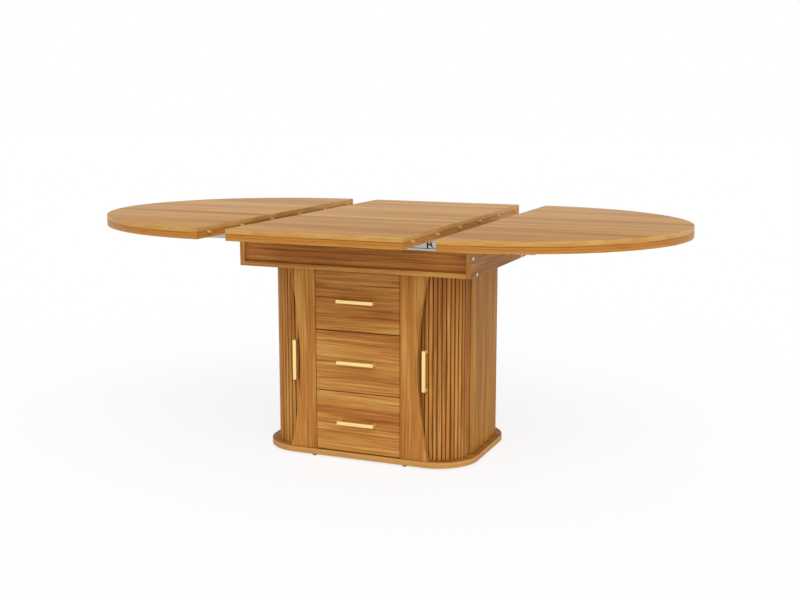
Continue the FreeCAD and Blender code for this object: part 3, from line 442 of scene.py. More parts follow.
# %% Finishes for the drawn solids
LEVELS = ("bottom", "middle", "top")
FINISHES = {
    "plinth_board": plinth_strip, "partition": melamine, "stile": wood["upright"],
    "side_panel": wood["sides"], "back_panel": wood["sides"], "shelf": melamine, "cabinet_runners": zinc,
    "apron_front": wood["apron"], "apron_back": wood["apron"], "apron_bottom": wood["fronts"],
    "apron_side": wood["ends"],
    "slide_channel": aluminium, "left_rail": aluminium, "right_rail": aluminium,
}
DRAWER_FINISHES = {"front": wood["fronts"], "sides": melamine, "back": melamine, "bottom": melamine,
                   "runners": zinc}
for level in LEVELS:
    for part, finish in DRAWER_FINISHES.items():
        FINISHES[f"drawer_{level}_{part}"] = finish
FINISHES["drawer_top_front"] = wood["top_drawer_in_shade"]
dressed = 0
for name, node in nodes.items():
    stems = [stem for stem in FINISHES if name.startswith(stem)]
    if stems:
        node.data.materials.clear()
        node.data.materials.append(FINISHES[max(stems, key=len)])
        dressed += 1
print("dressed solids:", dressed)

# %% [markdown]
# ## Tools for shapes
# Most pieces here are rings of points joined by quads: a board is a stack of outlines, a turned part a
# stack of circles. One function skins such rings. Modifiers need an object to work on, so a mesh is
# linked into the scene for a moment and then read back as a plain mesh. The last tool makes a mesh a
# piece of the table that rides on a body.

# %% Meshes and pieces
scene = bpy.context.scene
ROUND_ANGLE, FACE_ANGLE = 35, 10    # degrees; a sharper edge than this ends a round or a flat face


def plain_mesh(shape, name, *finishes):
    """Mesh data from a bmesh, which is freed."""
    data = bpy.data.meshes.new(name)
    shape.to_mesh(data)
    shape.free()
    for finish in finishes:
        data.materials.append(finish)
    return data


def skin(shape, rings):
    """Join rings of points with quads; returns the walls, then the far end and the near end."""
    faces = []
    for near, far in zip(rings, rings[1:]):
        for index in range(len(near)):
            following = (index + 1) % len(near)
            faces.append(shape.faces.new((near[index], near[following], far[following], far[index])))
    faces.append(shape.faces.new(rings[-1]))
    faces.append(shape.faces.new(reversed(rings[0])))
    return faces


def linked(name, data):
    """An object in the scene that holds some data."""
    holder = bpy.data.objects.new(name, data)
    scene.collection.objects.link(holder)
    return holder


def evaluated_mesh(owner):
    """A plain mesh of an object with its modifiers applied; the object itself is removed."""
    graph = bpy.context.evaluated_depsgraph_get()
    data = bpy.data.meshes.new_from_object(owner.evaluated_get(graph), depsgraph=graph)
    owner.modifiers.clear()
    bpy.data.objects.remove(owner)
    return data


def new_piece(name, mesh, body, replaced=(), smooth_angle=ROUND_ANGLE):
    """Make a finished mesh a piece of the table."""
    mesh.name = name
    piece = linked(name, mesh)
    mesh.shade_smooth()
    mesh.set_sharp_from_angle(angle=math.radians(smooth_angle))
    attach(piece, body)
    if replaced:
        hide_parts(*replaced)
    return piece


print("edges look sharp over", ROUND_ANGLE, "degrees, and on boards over", FACE_ANGLE)

# %% [markdown]
# ## The three boards of the top
# A table top is a flat board with eased edges: a soft round along the upper edge that catches the light
# and a smaller one below. The outline is half an ellipse for the end leaves and a rectangle for the
# middle. Stacking copies of the outline, each drawn in a little, and joining them with rings of quads
# gives rounds that shade cleanly. The rows of dowel holes are then cut with a Boolean modifier.

# %% Board builder
TOP_FACE, EDGE, UNDERSIDE, HOLE = range(4)    # material slots of a board
BOARD_FINISHES = (wood["top"], top_strip, backing, raw_board)
CROWN_LEVELS = 2    # last steps of the upper round, faced like the top


def drawn_in(outline, distance):
    """The outline moved inwards, with its corners mitred. It runs anticlockwise."""
    moved = []
    for index, point in enumerate(outline):
        before = (point - outline[index - 1]).normalized()
        after = (outline[(index + 1) % len(outline)] - point).normalized()
        normals = Vector((-before.y, before.x)), Vector((-after.y, after.x))
        moved.append(point + (normals[0] + normals[1]) * (distance / (1 + normals[0].dot(normals[1]))))
    return moved


def eased_profile(low, high, upper, lower, steps):
    """Pairs of inset and height up the edge of a board with a round at the top and at the bottom."""
    turn = [QUARTER * step / steps for step in range(steps + 1)]
    rise = [(lower * (1 - math.sin(a)), low + lower * (1 - math.cos(a))) for a in turn]
    crown = [(upper * (1 - math.cos(a)), high - upper * (1 - math.sin(a))) for a in turn]
    return rise + crown


def board_mesh(name, outline, profile):
    """Closed board whose edge follows the profile."""
    shape = bmesh.new()
    rings = []
    for inset, height in profile:
        rings.append([shape.verts.new((p.x, p.y, height)) for p in drawn_in(outline, inset)])
    *walls, upper, under = skin(shape, rings)
    for wall in walls[:-CROWN_LEVELS * len(outline)]:
        wall.material_index = EDGE
    upper.material_index = TOP_FACE
    under.material_index = UNDERSIDE
    return plain_mesh(shape, name, *BOARD_FINISHES)


print("board finishes:", [finish.name for finish in BOARD_FINISHES])

# %% Dowel holes
DRILL_CLEAR, DRILL_SEGMENTS = 1 * MM, 24    # each drill starts a little outside the edge
SEAT, SOCKET = (8.2 * MM, 16.3 * MM), (8.6 * MM, 13.5 * MM)    # a hole's diameter and depth


def drilled(mesh, holes, diameter, depth):
    """Cut round holes along X; each one is (face x, y, z, direction into the wood)."""
    cutters = bmesh.new()
    for x, y, z, inwards in holes:
        centre = Matrix.Translation((x + inwards * (depth - DRILL_CLEAR) / 2, y, z))
        bmesh.ops.create_cone(
            cutters, cap_ends=True, segments=DRILL_SEGMENTS, radius1=diameter / 2, radius2=diameter / 2,
            depth=depth + DRILL_CLEAR, matrix=centre @ Matrix.Rotation(QUARTER, 4, "Y"))
    for face in cutters.faces:
        face.material_index = HOLE
    drills = linked("drills", plain_mesh(cutters, "drills", *mesh.materials))
    board = linked("board", mesh)
    modifier = board.modifiers.new("holes", "BOOLEAN")
    modifier.object = drills
    modifier.operation = "DIFFERENCE"
    modifier.solver = "EXACT"
    data = evaluated_mesh(board)
    bpy.data.objects.remove(drills)
    return data


print("holes to glue a dowel in and to plug it in:", SEAT, SOCKET)

# %% Left, right and centre boards
EASE_UPPER, EASE_LOWER, EASE_STEPS = 2.6 * MM, 0.8 * MM, 5
OVAL_STEPS = 120
top_low, top_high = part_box("centre_leaf_panel")
left_low, left_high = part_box("left_leaf_panel")
right_low, right_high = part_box("right_leaf_panel")
DOWEL_ROWS = [y * MM for y in (-490, -294, -98, 98, 294, 490)]
DOWEL_Z = (top_low.z + top_high.z) / 2


def half_oval(edge_x, tip_x, half):
    """Half an ellipse from a straight edge to its tip, anticlockwise."""
    angles = [math.pi * step / OVAL_STEPS - QUARTER for step in range(OVAL_STEPS + 1)]
    points = [Vector((edge_x + (tip_x - edge_x) * math.cos(a), half * math.sin(a))) for a in angles]
    return points if tip_x > edge_x else points[::-1]


def rectangle(low, high):
    corners = ((low.x, low.y), (high.x, low.y), (high.x, high.y), (low.x, high.y))
    return [Vector(corner) for corner in corners]


profile = eased_profile(top_low.z, top_high.z, EASE_UPPER, EASE_LOWER, EASE_STEPS)
BOARDS = {
    "left_leaf": (half_oval(left_high.x, left_low.x, left_high.y), [(left_high.x, -1, SEAT)]),
    "right_leaf": (half_oval(right_low.x, right_high.x, right_high.y), [(right_low.x, 1, SOCKET)]),
    "centre_leaf": (rectangle(top_low, top_high), [(top_low.x, 1, SOCKET), (top_high.x, -1, SEAT)]),
}
for body, (outline, rows) in BOARDS.items():
    mesh = board_mesh(f"{body}_board", outline, profile)
    for face_x, inwards, (diameter, depth) in rows:
        mesh = drilled(mesh, [(face_x, y, DOWEL_Z, inwards) for y in DOWEL_ROWS], diameter, depth)
    new_piece(f"{body}_board", mesh, body, [f"{body}_panel"], FACE_ANGLE)
    print(body, "faces:", len(mesh.polygons))

# %% [markdown]
# ## Eased edges on the other boards
# No board leaves a workshop with knife edges: a pass of sandpaper takes them off, and the narrow round
# that is left catches the light round every front. The drawn boards are sharp, so a copy of each one
# that shows is welded, its flat faces are joined up, and the bevel operator rounds what is still sharp.
# The rims of the bolt holes are left out by their short edges, because a bolt's head covers them. The
# plinth's upper face is then veneered with darker wood, which paints the shade that the pedestal casts on
# it, while its rim keeps the strip.

# %% Boards with eased edges
BOARD_EASE = {"plinth_board": 1.5 * MM, "stile": 1.4 * MM, "side_panel": 1.8 * MM, "shelf": 0.8 * MM,
              "apron": 0.7 * MM, "partition": 0.5 * MM, "back_panel": 0.5 * MM}
DRAWER_EASE = {"front": 0.8 * MM, "sides": 0.5 * MM, "back": 0.5 * MM}
for level in LEVELS:
    for part, ease in DRAWER_EASE.items():
        BOARD_EASE[f"drawer_{level}_{part}"] = ease
record = frame["record"]
WELD, SHORT_EDGE, EASE_SEGMENTS = 0.001 * MM, 3 * MM, 3
FLAT_WITHIN, SHARP_OVER = math.radians(0.5), math.radians(40)


def eased_copy(node_name, ease):
    """A piece like a drawn board, with its edges rounded."""
    source = nodes[node_name].data
    shape = bmesh.new()
    shape.from_mesh(source)
    bmesh.ops.remove_doubles(shape, verts=shape.verts, dist=WELD)
    bmesh.ops.dissolve_limit(shape, angle_limit=FLAT_WITHIN, verts=shape.verts, edges=shape.edges)
    sharp = [edge for edge in shape.edges
             if edge.calc_face_angle(0) > SHARP_OVER and edge.calc_length() > SHORT_EDGE]
    bmesh.ops.bevel(shape, geom=sharp, offset=ease, segments=EASE_SEGMENTS, profile=0.5, affect="EDGES",
                    clamp_overlap=True)
    data = plain_mesh(shape, node_name, source.materials[0])
    body = next(name for name, held in record["behaviour"]["bodies"].items() if node_name in held)
    return new_piece(f"{node_name}_eased", data, body, [node_name], FACE_ANGLE)


for stem, ease in BOARD_EASE.items():
    for node_name in sorted(name for name in nodes if name.startswith(stem) and name != "apron_bolts"):
        piece = eased_copy(node_name, ease)
        print(piece.name, "faces:", len(piece.data.polygons))

# %% The plinth's upper face, darkened with painted shade
FACING_UP = 0.9    # least upward share of a face's normal
plinth_mesh = bpy.data.objects["plinth_board_eased"].data
plinth_mesh.materials.append(wood["plinth"])
# Faces that look up get the darker veneer: painted shade.
for face in plinth_mesh.polygons:
    face.material_index = 1 if face.normal.z > FACING_UP else 0
print("plinth finishes:", [finish.name for finish in plinth_mesh.materials])

# %% [markdown]
# ## Slatted doors
# A tambour door is a row of thin slats glued to a cloth, so that it bends in one direction only. One
# slat is modelled with rounded shoulders and its tongues, and a Geometry Nodes tree sets copies of it
# round the corner's upright axis. Each copy carries a random shift, which the wood reads, so that no two
# slats show the same grain.

# %% One slat
# Distances from the corner's axis, half widths and heights.
SLAT_BASE, SLAT_CREST, SLAT_HALF = 91 * MM, 99 * MM, 6.1 * MM
SHOULDER_RISE, SHOULDER_RUN, SHOULDER_STEPS = 3.5 * MM, 2.6 * MM, 5
FLANK_REST = 1 * MM    # last flat bit of the flank under the shoulder
TONGUE_BASE, TONGUE_FACE, TONGUE_HALF = 91.3 * MM, 95 * MM, 5 * MM
DOOR_LOW, DOOR_HIGH = 26 * MM, 612 * MM
TONGUE_LOW, TONGUE_HIGH = 19.3 * MM, 618.7 * MM


def prism(shape, section, low, high):
    """Extrude a closed section in the XY plane between two heights."""
    skin(shape, [[shape.verts.new((x, y, z)) for x, y in section] for z in (low, high)])


def slat_section():
    """Half of the section from the flat back to the crest, then its mirror image."""
    shoulder = SLAT_CREST - SHOULDER_RISE
    half = [(SLAT_BASE, SLAT_HALF), (shoulder - FLANK_REST, SLAT_HALF)]
    for step in range(SHOULDER_STEPS + 1):
        turn = QUARTER * step / SHOULDER_STEPS
        half.append((shoulder + SHOULDER_RISE * math.sin(turn),
                     SLAT_HALF - SHOULDER_RUN * (1 - math.cos(turn))))
    half.append((SLAT_CREST, 0))
    return [(x, -y) for x, y in half] + [(x, y) for x, y in half[-2::-1]]


slat = bmesh.new()
prism(slat, slat_section(), DOOR_LOW, DOOR_HIGH)
tongue = [(TONGUE_BASE, -TONGUE_HALF), (TONGUE_FACE, -TONGUE_HALF),
          (TONGUE_FACE, TONGUE_HALF), (TONGUE_BASE, TONGUE_HALF)]
prism(slat, tongue, TONGUE_LOW, DOOR_LOW)
prism(slat, tongue, DOOR_HIGH, TONGUE_HIGH)
slat_mesh = plain_mesh(slat, "one_slat", slat_veneer)
flanks = slat_mesh.attributes.new("flank", "FLOAT", "POINT")
for vert in slat_mesh.vertices:
    flanks.data[vert.index].value = (SLAT_CREST - vert.co.x) / (SLAT_CREST - SLAT_BASE)
one_slat = linked("one_slat", slat_mesh)
print("slat faces:", len(slat_mesh.polygons))

# %% Geometry trees
def new_tree(name, inputs):
    """A geometry tree with named inputs; returns it and its group input's sockets."""
    tree = bpy.data.node_groups.new(name, "GeometryNodeTree")
    tree.interface.new_socket("Geometry", in_out="INPUT", socket_type="NodeSocketGeometry")
    for label, kind in inputs.items():
        tree.interface.new_socket(label, in_out="INPUT", socket_type=f"NodeSocket{kind}")
    tree.interface.new_socket("Geometry", in_out="OUTPUT", socket_type="NodeSocketGeometry")
    return tree, put(tree, "NodeGroupInput").outputs


def baked(name, start_mesh, tree, values):
    """Run a tree on a mesh and return the plain mesh that it makes."""
    owner = linked(name, start_mesh)
    modifier = owner.modifiers.new(name, "NODES")
    modifier.node_group = tree
    for item in tree.interface.items_tree:
        if item.in_out == "INPUT" and item.name in values:
            modifier[item.identifier] = values[item.name]
    return evaluated_mesh(owner)


print("trees so far:", len(bpy.data.node_groups))

# %% The row of slats as a tree of nodes
door_tree, given = new_tree("slats_round_a_corner", {
    "Slat": "Object", "Count": "Int", "First Angle": "Float", "Pitch Angle": "Float",
    "Corner": "Vector", "Material": "Material", "Seed": "Int"})
row = put(door_tree, "GeometryNodeMeshLine", {"Count": given["Count"], "Offset": (0, 0, 0)}).outputs[0]
slat_copy = put(door_tree, "GeometryNodeObjectInfo", {"Object": given["Slat"]}).outputs["Geometry"]
index = put(door_tree, "GeometryNodeInputIndex").outputs[0]
angle = put(door_tree, "ShaderNodeMath", {0: index, 1: given["Pitch Angle"], 2: given["First Angle"]},
            operation="MULTIPLY_ADD").outputs[0]
turned = put(door_tree, "ShaderNodeCombineXYZ", {"Z": angle}).outputs[0]
copies = put(door_tree, "GeometryNodeInstanceOnPoints", {
    "Points": row, "Instance": slat_copy, "Rotation": turned}).outputs[0]
own_shift = put(door_tree, "FunctionNodeRandomValue", {
    "Min": (0, 0, 0), "Max": (SHIFT_MOST,) * 3, "Seed": given["Seed"]}, data_type="FLOAT_VECTOR").outputs[0]
tagged = put(door_tree, "GeometryNodeStoreNamedAttribute", {
    "Geometry": copies, "Name": "slat_shift", "Value": own_shift},
    data_type="FLOAT_VECTOR", domain="INSTANCE").outputs[0]
solid = put(door_tree, "GeometryNodeRealizeInstances", {"Geometry": tagged}).outputs[0]
moved = put(door_tree, "GeometryNodeTransform", {
    "Geometry": solid, "Translation": given["Corner"]}).outputs[0]
finished = put(door_tree, "GeometryNodeSetMaterial", {
    "Geometry": moved, "Material": given["Material"]}).outputs[0]
put(door_tree, "NodeGroupOutput", {"Geometry": finished})
print("door tree nodes:", len(door_tree.nodes))

# %% Both rows
SIDES = {"left": -1, "right": 1}
SLAT_COUNT, PITCH, FIRST = 16, math.radians(8.04), math.radians(-20)
CORNER_X, CORNER_Y = 230 * MM, -120 * MM
FRONT = -QUARTER
SEED = 3
for name, side in SIDES.items():
    first = FRONT + FIRST if side > 0 else FRONT - FIRST - PITCH * (SLAT_COUNT - 1)
    mesh = baked(f"{name}_row", bpy.data.meshes.new(f"{name}_row"), door_tree, {
        "Slat": one_slat, "Count": SLAT_COUNT, "First Angle": first, "Pitch Angle": PITCH,
        "Corner": (side * CORNER_X, CORNER_Y, 0), "Material": slat_veneer, "Seed": SEED + side})
    new_piece(f"{name}_door_slat_row", mesh, f"{name}_door",
                                 [f"{name}_door_slats"])
    print(name, "door faces:", len(mesh.polygons))
bpy.data.objects.remove(one_slat)

# %% [markdown]
# ## The cloth behind the slats
# The cloth lies flat on the back of each slat and folds a little at every joint, so seen from above it
# is a polygon with one side for each slat. A strip of quads follows that polygon, Solidify gives it the
# thickness of cotton duck, and its UV map counts metres along the strip and up it.

# %% Canvas backing
CLOTH_THICKNESS, CLOTH_GAP = 0.7 * MM, 0.12 * MM
CLOTH_ROWS = 30
CLOTH_RADIUS = (SLAT_BASE - CLOTH_GAP - CLOTH_THICKNESS / 2) / math.cos(PITCH / 2)
CHORD = 2 * CLOTH_RADIUS * math.sin(PITCH / 2)
CLOTH_WIDTH, CLOTH_HEIGHT = SLAT_COUNT * CHORD, DOOR_HIGH - DOOR_LOW


def cloth_mesh(name, side):
    """A sheet with one flat for each slat."""
    shape = bmesh.new()
    uv = shape.loops.layers.uv.new("cloth")
    heights = [DOOR_LOW + CLOTH_HEIGHT * row / CLOTH_ROWS for row in range(CLOTH_ROWS + 1)]
    columns = []
    for column in range(SLAT_COUNT + 1):
        turn = FRONT + side * (FIRST + PITCH * (column - 0.5))
        x = side * CORNER_X + CLOTH_RADIUS * math.cos(turn)
        y = CORNER_Y + CLOTH_RADIUS * math.sin(turn)
        columns.append([shape.verts.new((x, y, z)) for z in heights])
    for column in range(SLAT_COUNT):
        for row in range(CLOTH_ROWS):
            corners = ((column, row), (column + 1, row), (column + 1, row + 1), (column, row + 1))
            face = shape.faces.new([columns[c][r] for c, r in corners])
            for loop, (c, r) in zip(face.loops, corners):
                loop[uv].uv = (c * CHORD, heights[r])
    bmesh.ops.recalc_face_normals(shape, faces=shape.faces)
    owner = linked(name, plain_mesh(shape, name, canvas_cloth))
    wall = owner.modifiers.new("thickness", "SOLIDIFY")
    wall.thickness = CLOTH_THICKNESS
    wall.offset = 0
    return evaluated_mesh(owner)


for name, side in SIDES.items():
    mesh = cloth_mesh(f"{name}_cloth", side)
    cloth = new_piece(f"{name}_door_cloth", mesh, f"{name}_door", [f"{name}_door_canvas"])
    print(name, "cloth", round(CLOTH_WIDTH, 4), "m wide")

# %% [markdown]
# ## Bar handles
# Each pull is a square bar on two legs, cast in one, with softly rounded edges. The section is drawn
# once, pushed out to the bar's height, and all its edges get a small bevel, because a sharp edge never
# catches a highlight. The same builder makes the level drawer pulls and the upright door pulls.

# %% Handle builder and the five handles
HANDLE_HEIGHT, HANDLE_REACH, BAR, LEG = 11 * MM, 24 * MM, 7 * MM, 9 * MM
HANDLE_ROUND, HANDLE_SEGMENTS = 1.1 * MM, 3
DRAWER_PULL, DOOR_PULL = 125 * MM, 130 * MM
HANDLE_SLAT = 2    # counted from the first slat of a door


def handle_mesh(name, length):
    """A pull that lies along X and stands out along -Y; its feet stay sharp."""
    half, reach = length / 2, -HANDLE_REACH
    inner, under = half - LEG, reach + BAR
    section = [(-half, 0), (-half, reach), (half, reach), (half, 0),
               (inner, 0), (inner, under), (-inner, under), (-inner, 0)]
    shape = bmesh.new()
    prism(shape, section, -HANDLE_HEIGHT / 2, HANDLE_HEIGHT / 2)
    edges = [edge for edge in shape.edges if min(v.co.y for v in edge.verts) < -WELD]
    bmesh.ops.bevel(shape, geom=edges, offset=HANDLE_ROUND, segments=HANDLE_SEGMENTS, profile=0.5,
                    affect="EDGES", clamp_overlap=True)
    bmesh.ops.recalc_face_normals(shape, faces=shape.faces)
    return plain_mesh(shape, name, gold)


def place_handle(node, body, length, turn):
    """Set a pull in the middle of the drawn one."""
    low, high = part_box(node)
    mesh = handle_mesh(node, length)
    mesh.transform(turn)
    corners = [Vector(v.co) for v in mesh.vertices]
    middle = Vector([(min(c[i] for c in corners) + max(c[i] for c in corners)) / 2 for i in range(3)])
    mesh.transform(Matrix.Translation((low + high) / 2 - middle))
    return new_piece(f"{node}_cast", mesh, body, [node])


for level in LEVELS:
    place_handle(f"drawer_{level}_handle", f"drawer_{level}", DRAWER_PULL, Matrix.Identity(4))
HANDLE_ANGLE = FIRST + HANDLE_SLAT * PITCH
for name, side in SIDES.items():
    upright = Matrix.Rotation(side * HANDLE_ANGLE, 4, "Z") @ Matrix.Rotation(-QUARTER, 4, "Y")
    place_handle(f"{name}_door_handle", f"{name}_door", DOOR_PULL, upright)
print("handles:", len(LEVELS) + len(SIDES))

# %% [markdown]
# ## Turned parts
# Dowels, bolts, pivots, feet, pins and screws are all round parts that repeat. One function revolves a
# profile, with the radius free to change round the ring for flutes or a hexagon socket. One tree of
# nodes then sets copies on a list of points, each turned the same way.

# %% Turned parts and the tree that repeats them
OUT_ALONG_X = {side: (0, side * QUARTER, 0) for side in (-1, 1)}    # turns of a part that points up
OUT_ALONG_Y = {side: (-side * QUARTER, 0, 0) for side in (-1, 1)}


def turned_mesh(name, profile, segments, finish):
    """Revolve (height, radius) pairs in mm about Z; a radius may be a function of the segment's number."""
    shape = bmesh.new()
    rings = []
    for height, radius in profile:
        ring = []
        for segment in range(segments):
            turn = math.tau * segment / segments
            here = (radius(segment) if callable(radius) else radius) * MM
            ring.append(shape.verts.new((here * math.cos(turn), here * math.sin(turn), height * MM)))
        rings.append(ring)
    skin(shape, rings)
    bmesh.ops.recalc_face_normals(shape, faces=shape.faces)
    return plain_mesh(shape, name, finish)


point_tree, given = new_tree("parts_on_points", {"Part": "Object", "Turn": "Vector", "Material": "Material"})
part_copy = put(point_tree, "GeometryNodeObjectInfo", {"Object": given["Part"]}).outputs["Geometry"]
copies = put(point_tree, "GeometryNodeInstanceOnPoints", {
    "Points": given["Geometry"], "Instance": part_copy, "Rotation": given["Turn"]}).outputs[0]
solid = put(point_tree, "GeometryNodeRealizeInstances", {"Geometry": copies}).outputs[0]
finished = put(point_tree, "GeometryNodeSetMaterial", {
    "Geometry": solid, "Material": given["Material"]}).outputs[0]
put(point_tree, "NodeGroupOutput", {"Geometry": finished})


def repeated(name, part_mesh, groups, body, replaced=()):
    """One piece with a copy of the part at every point; groups pair a turn with its points."""
    whole = bmesh.new()
    part = linked("part", part_mesh)
    finish = part_mesh.materials[0]
    for turn, points in groups:
        start = bpy.data.meshes.new("points")
        start.from_pydata(points, [], [])
        whole.from_mesh(baked("copies", start, point_tree, {"Part": part, "Turn": turn, "Material": finish}))
    bpy.data.objects.remove(part)
    return new_piece(name, plain_mesh(whole, name, finish), body, replaced)


print("point tree nodes:", len(point_tree.nodes))

# %% [markdown]
# ## Dowels and bolts
# A dowel is fluted so that glue and air can leave its hole, and its ends are tapered to find the hole.
# The bolts that hold the apron together have low round heads with a hexagon socket. Both profiles start
# inside the wood, so that no gap shows round them.

# %% Fluted dowels
DOWEL_RADIUS, FLUTE = 4, 0.35    # mm
FLUTES, PER_FLUTE = 14, 3


def fluted(segment):
    """Radius in mm of a rod with shallow grooves."""
    return DOWEL_RADIUS - (FLUTE if segment % PER_FLUTE == 0 else 0)


DOWEL_PROFILE = ((-16, 2.6), (-14.6, fluted), (10.6, fluted), (11.4, 3.4), (12, 2.4))
dowel = turned_mesh("one_dowel", DOWEL_PROFILE, FLUTES * PER_FLUTE, beech)
for body, edge_x in (("left_leaf", left_high.x), ("centre_leaf", top_high.x)):
    row = [(edge_x, y, DOWEL_Z) for y in DOWEL_ROWS]
    repeated(f"{body}_dowel_row", dowel, [(OUT_ALONG_X[1], row)], body,
             [f"{body}_dowels"])
    print(body, "dowels:", len(row))

# %% Bolts with a hexagon socket
SOCKET_FLAT = 2    # mm from the middle to a flat
BOLT_SEGMENTS = 36


def hexagon(segment):
    """Radius in mm of a six-sided hole."""
    turn = math.tau * segment / BOLT_SEGMENTS
    return SOCKET_FLAT / math.cos((turn % (math.tau / 6)) - math.tau / 12)


BOLT_PROFILE = ((-45, 3), (0, 3), (0, 6), (0.7, 6), (1.3, 5.6), (1.8, 4.7), (2, 3.4), (2, hexagon),
                (0.7, hexagon))
BOLT_YZ = ((-267.5, 673), (267.5, 673), (-229, 620.5), (229, 620.5))    # mm; two for the rails, two below
bolt = turned_mesh("one_bolt", BOLT_PROFILE, BOLT_SEGMENTS, nickel)
APRON_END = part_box("apron_side_right")[1].x
groups = []
for side in SIDES.values():
    groups.append((OUT_ALONG_X[side], [(side * APRON_END, y * MM, z * MM) for y, z in BOLT_YZ]))
repeated("apron_socket_bolts", bolt, groups, "frame", ["apron_bolts"])
print("bolts:", len(SIDES) * len(BOLT_YZ))

# %% [markdown]
# ## Catches and painted groove shade on the slides
# Each slide carries a small black catch that holds a leaf where it stands: an upright with a short arm,
# and beside it a slanting lever on a pin. Along the slide's foot a black strip fills the groove: it is
# painted shade, the dark line over the pale lip. The catches are flat outlines given a thickness and a
# small bevel, and the painted shade is a plain strip.

# %% Catches
slide_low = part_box("slide_channel_front")[0]
CHANNEL_FACE, SLIDE_BASE = -slide_low.y, slide_low.z
CATCH_X, CATCH_THICK, CATCH_BEVEL = 250 * MM, 1.4 * MM, 0.3 * MM
# Outlines in mm, from the catch's middle and up from the slide's foot.
UPRIGHT = ((-2.5, 8), (2.5, 8), (2.5, 17), (9, 17), (9, 21), (2.5, 21), (2.5, 31), (-2.5, 31))
LEVER = ((10.5, 12), (17, 9.5), (19, 13), (14.5, 16), (12.5, 27), (8.5, 26))


def flat_part(shape, outline_mm, outwards, mirror):
    """An outline that stands out from the face of a channel."""
    rings = []
    for reach in (0, CATCH_THICK):
        y = outwards * (CHANNEL_FACE + reach)
        rings.append([shape.verts.new((mirror * (CATCH_X + x * MM), y, SLIDE_BASE + z * MM))
                      for x, z in outline_mm])
    skin(shape, rings)


catches = bmesh.new()
for outwards in (-1, 1):
    for mirror in (-1, 1):
        for outline_mm in (UPRIGHT, LEVER):
            flat_part(catches, outline_mm, outwards, mirror)
bmesh.ops.recalc_face_normals(catches, faces=catches.faces)
bmesh.ops.bevel(catches, geom=list(catches.edges), offset=CATCH_BEVEL, segments=2, profile=0.5,
                affect="EDGES")
new_piece("slide_catches", plain_mesh(catches, "slide_catches", plastic), "frame",
          ["slide_stops"])
print("catches: 4")

# %% Painted groove shade and pivots
# A black strip in each slide's groove stands in for the groove's shade: painted shade.
SHADE_STRIP_LOW, SHADE_STRIP_HIGH, SHADE_STRIP_DEEP = 6 * MM, 8 * MM, 1.1 * MM
groove_shade_strips = bmesh.new()
for outwards in (-1, 1):
    near, far = sorted((outwards * CHANNEL_FACE, outwards * (CHANNEL_FACE - SHADE_STRIP_DEEP)))
    section = [(-APRON_END, near), (APRON_END, near), (APRON_END, far), (-APRON_END, far)]
    prism(groove_shade_strips, section, SLIDE_BASE + SHADE_STRIP_LOW, SLIDE_BASE + SHADE_STRIP_HIGH)
new_piece("slide_seals", plain_mesh(groove_shade_strips, "slide_seals", plastic), "frame")
PIVOT_PROFILE, PIVOT_SEGMENTS = ((0, 1.7), (0.3, 1.7), (0.6, 1.1)), 16
PIVOT_X, PIVOT_Z = CATCH_X + 15 * MM, SLIDE_BASE + 13 * MM
pivot = turned_mesh("one_pivot", PIVOT_PROFILE, PIVOT_SEGMENTS, nickel)
groups = []
for outwards in (-1, 1):
    y = outwards * (CHANNEL_FACE + CATCH_THICK)
    groups.append((OUT_ALONG_Y[outwards], [(mirror * PIVOT_X, y, PIVOT_Z) for mirror in (-1, 1)]))
repeated("slide_catch_pivots", pivot, groups, "frame")
print("seals: 2, pivots: 4")

# %% [markdown]
# ## Feet and back pins
# The plinth stands on black glides that taper towards the floor and leave a thin line of shade under it.
# The back is a thin panel pinned on all round, so its heads follow the panel's own edge.

# %% Feet
FOOT_PROFILE, FOOT_SEGMENTS = ((0, 6.1), (0.5, 6.7), (3.5, 7.4), (4.6, 8), (6, 8)), 32
FOOT_XY = ((-157, -233), (157, -233), (-157, 233), (157, 233), (-300, 0), (300, 0))    # mm
foot = turned_mesh("one_foot", FOOT_PROFILE, FOOT_SEGMENTS, plastic)
standing = ((0, 0, 0), [(x * MM, y * MM, 0) for x, y in FOOT_XY])
repeated("plinth_glides", foot, [standing], "frame", ["plinth_feet"])
print("feet:", len(FOOT_XY))

# %% Pins round the back panel
PIN_PROFILE, PIN_SEGMENTS = ((0, 1.6), (0.35, 1.6), (0.5, 1.2)), 14
PIN_INSET, PINS_UP, PINS_ALONG = 8 * MM, 7, 6
back_low, back_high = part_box("back_panel")
pin = turned_mesh("one_pin", PIN_PROFILE, PIN_SEGMENTS, zinc)


def spread(low, high, count):
    """Places at even distances between two edges, the outer ones set in."""
    return [low + PIN_INSET + (high - low - 2 * PIN_INSET) * step / (count - 1) for step in range(count)]


spots = []
for row, z in enumerate(spread(back_low.z, back_high.z, PINS_UP)):
    for column, x in enumerate(spread(back_low.x, back_high.x, PINS_ALONG)):
        if row in (0, PINS_UP - 1) or column in (0, PINS_ALONG - 1):
            spots.append((x, back_high.y, z))
repeated("back_panel_pins", pin, [(OUT_ALONG_Y[1], spots)], "frame")
print("pins:", len(spots))

# %% [markdown]
# ## Screws inside the drawers
# An open drawer shows what holds it together: two screw heads behind each handle, in line with its legs,
# and three along each runner. Their places are taken from the boxes of the drawn solids, so they stay on
# their boards if those change.

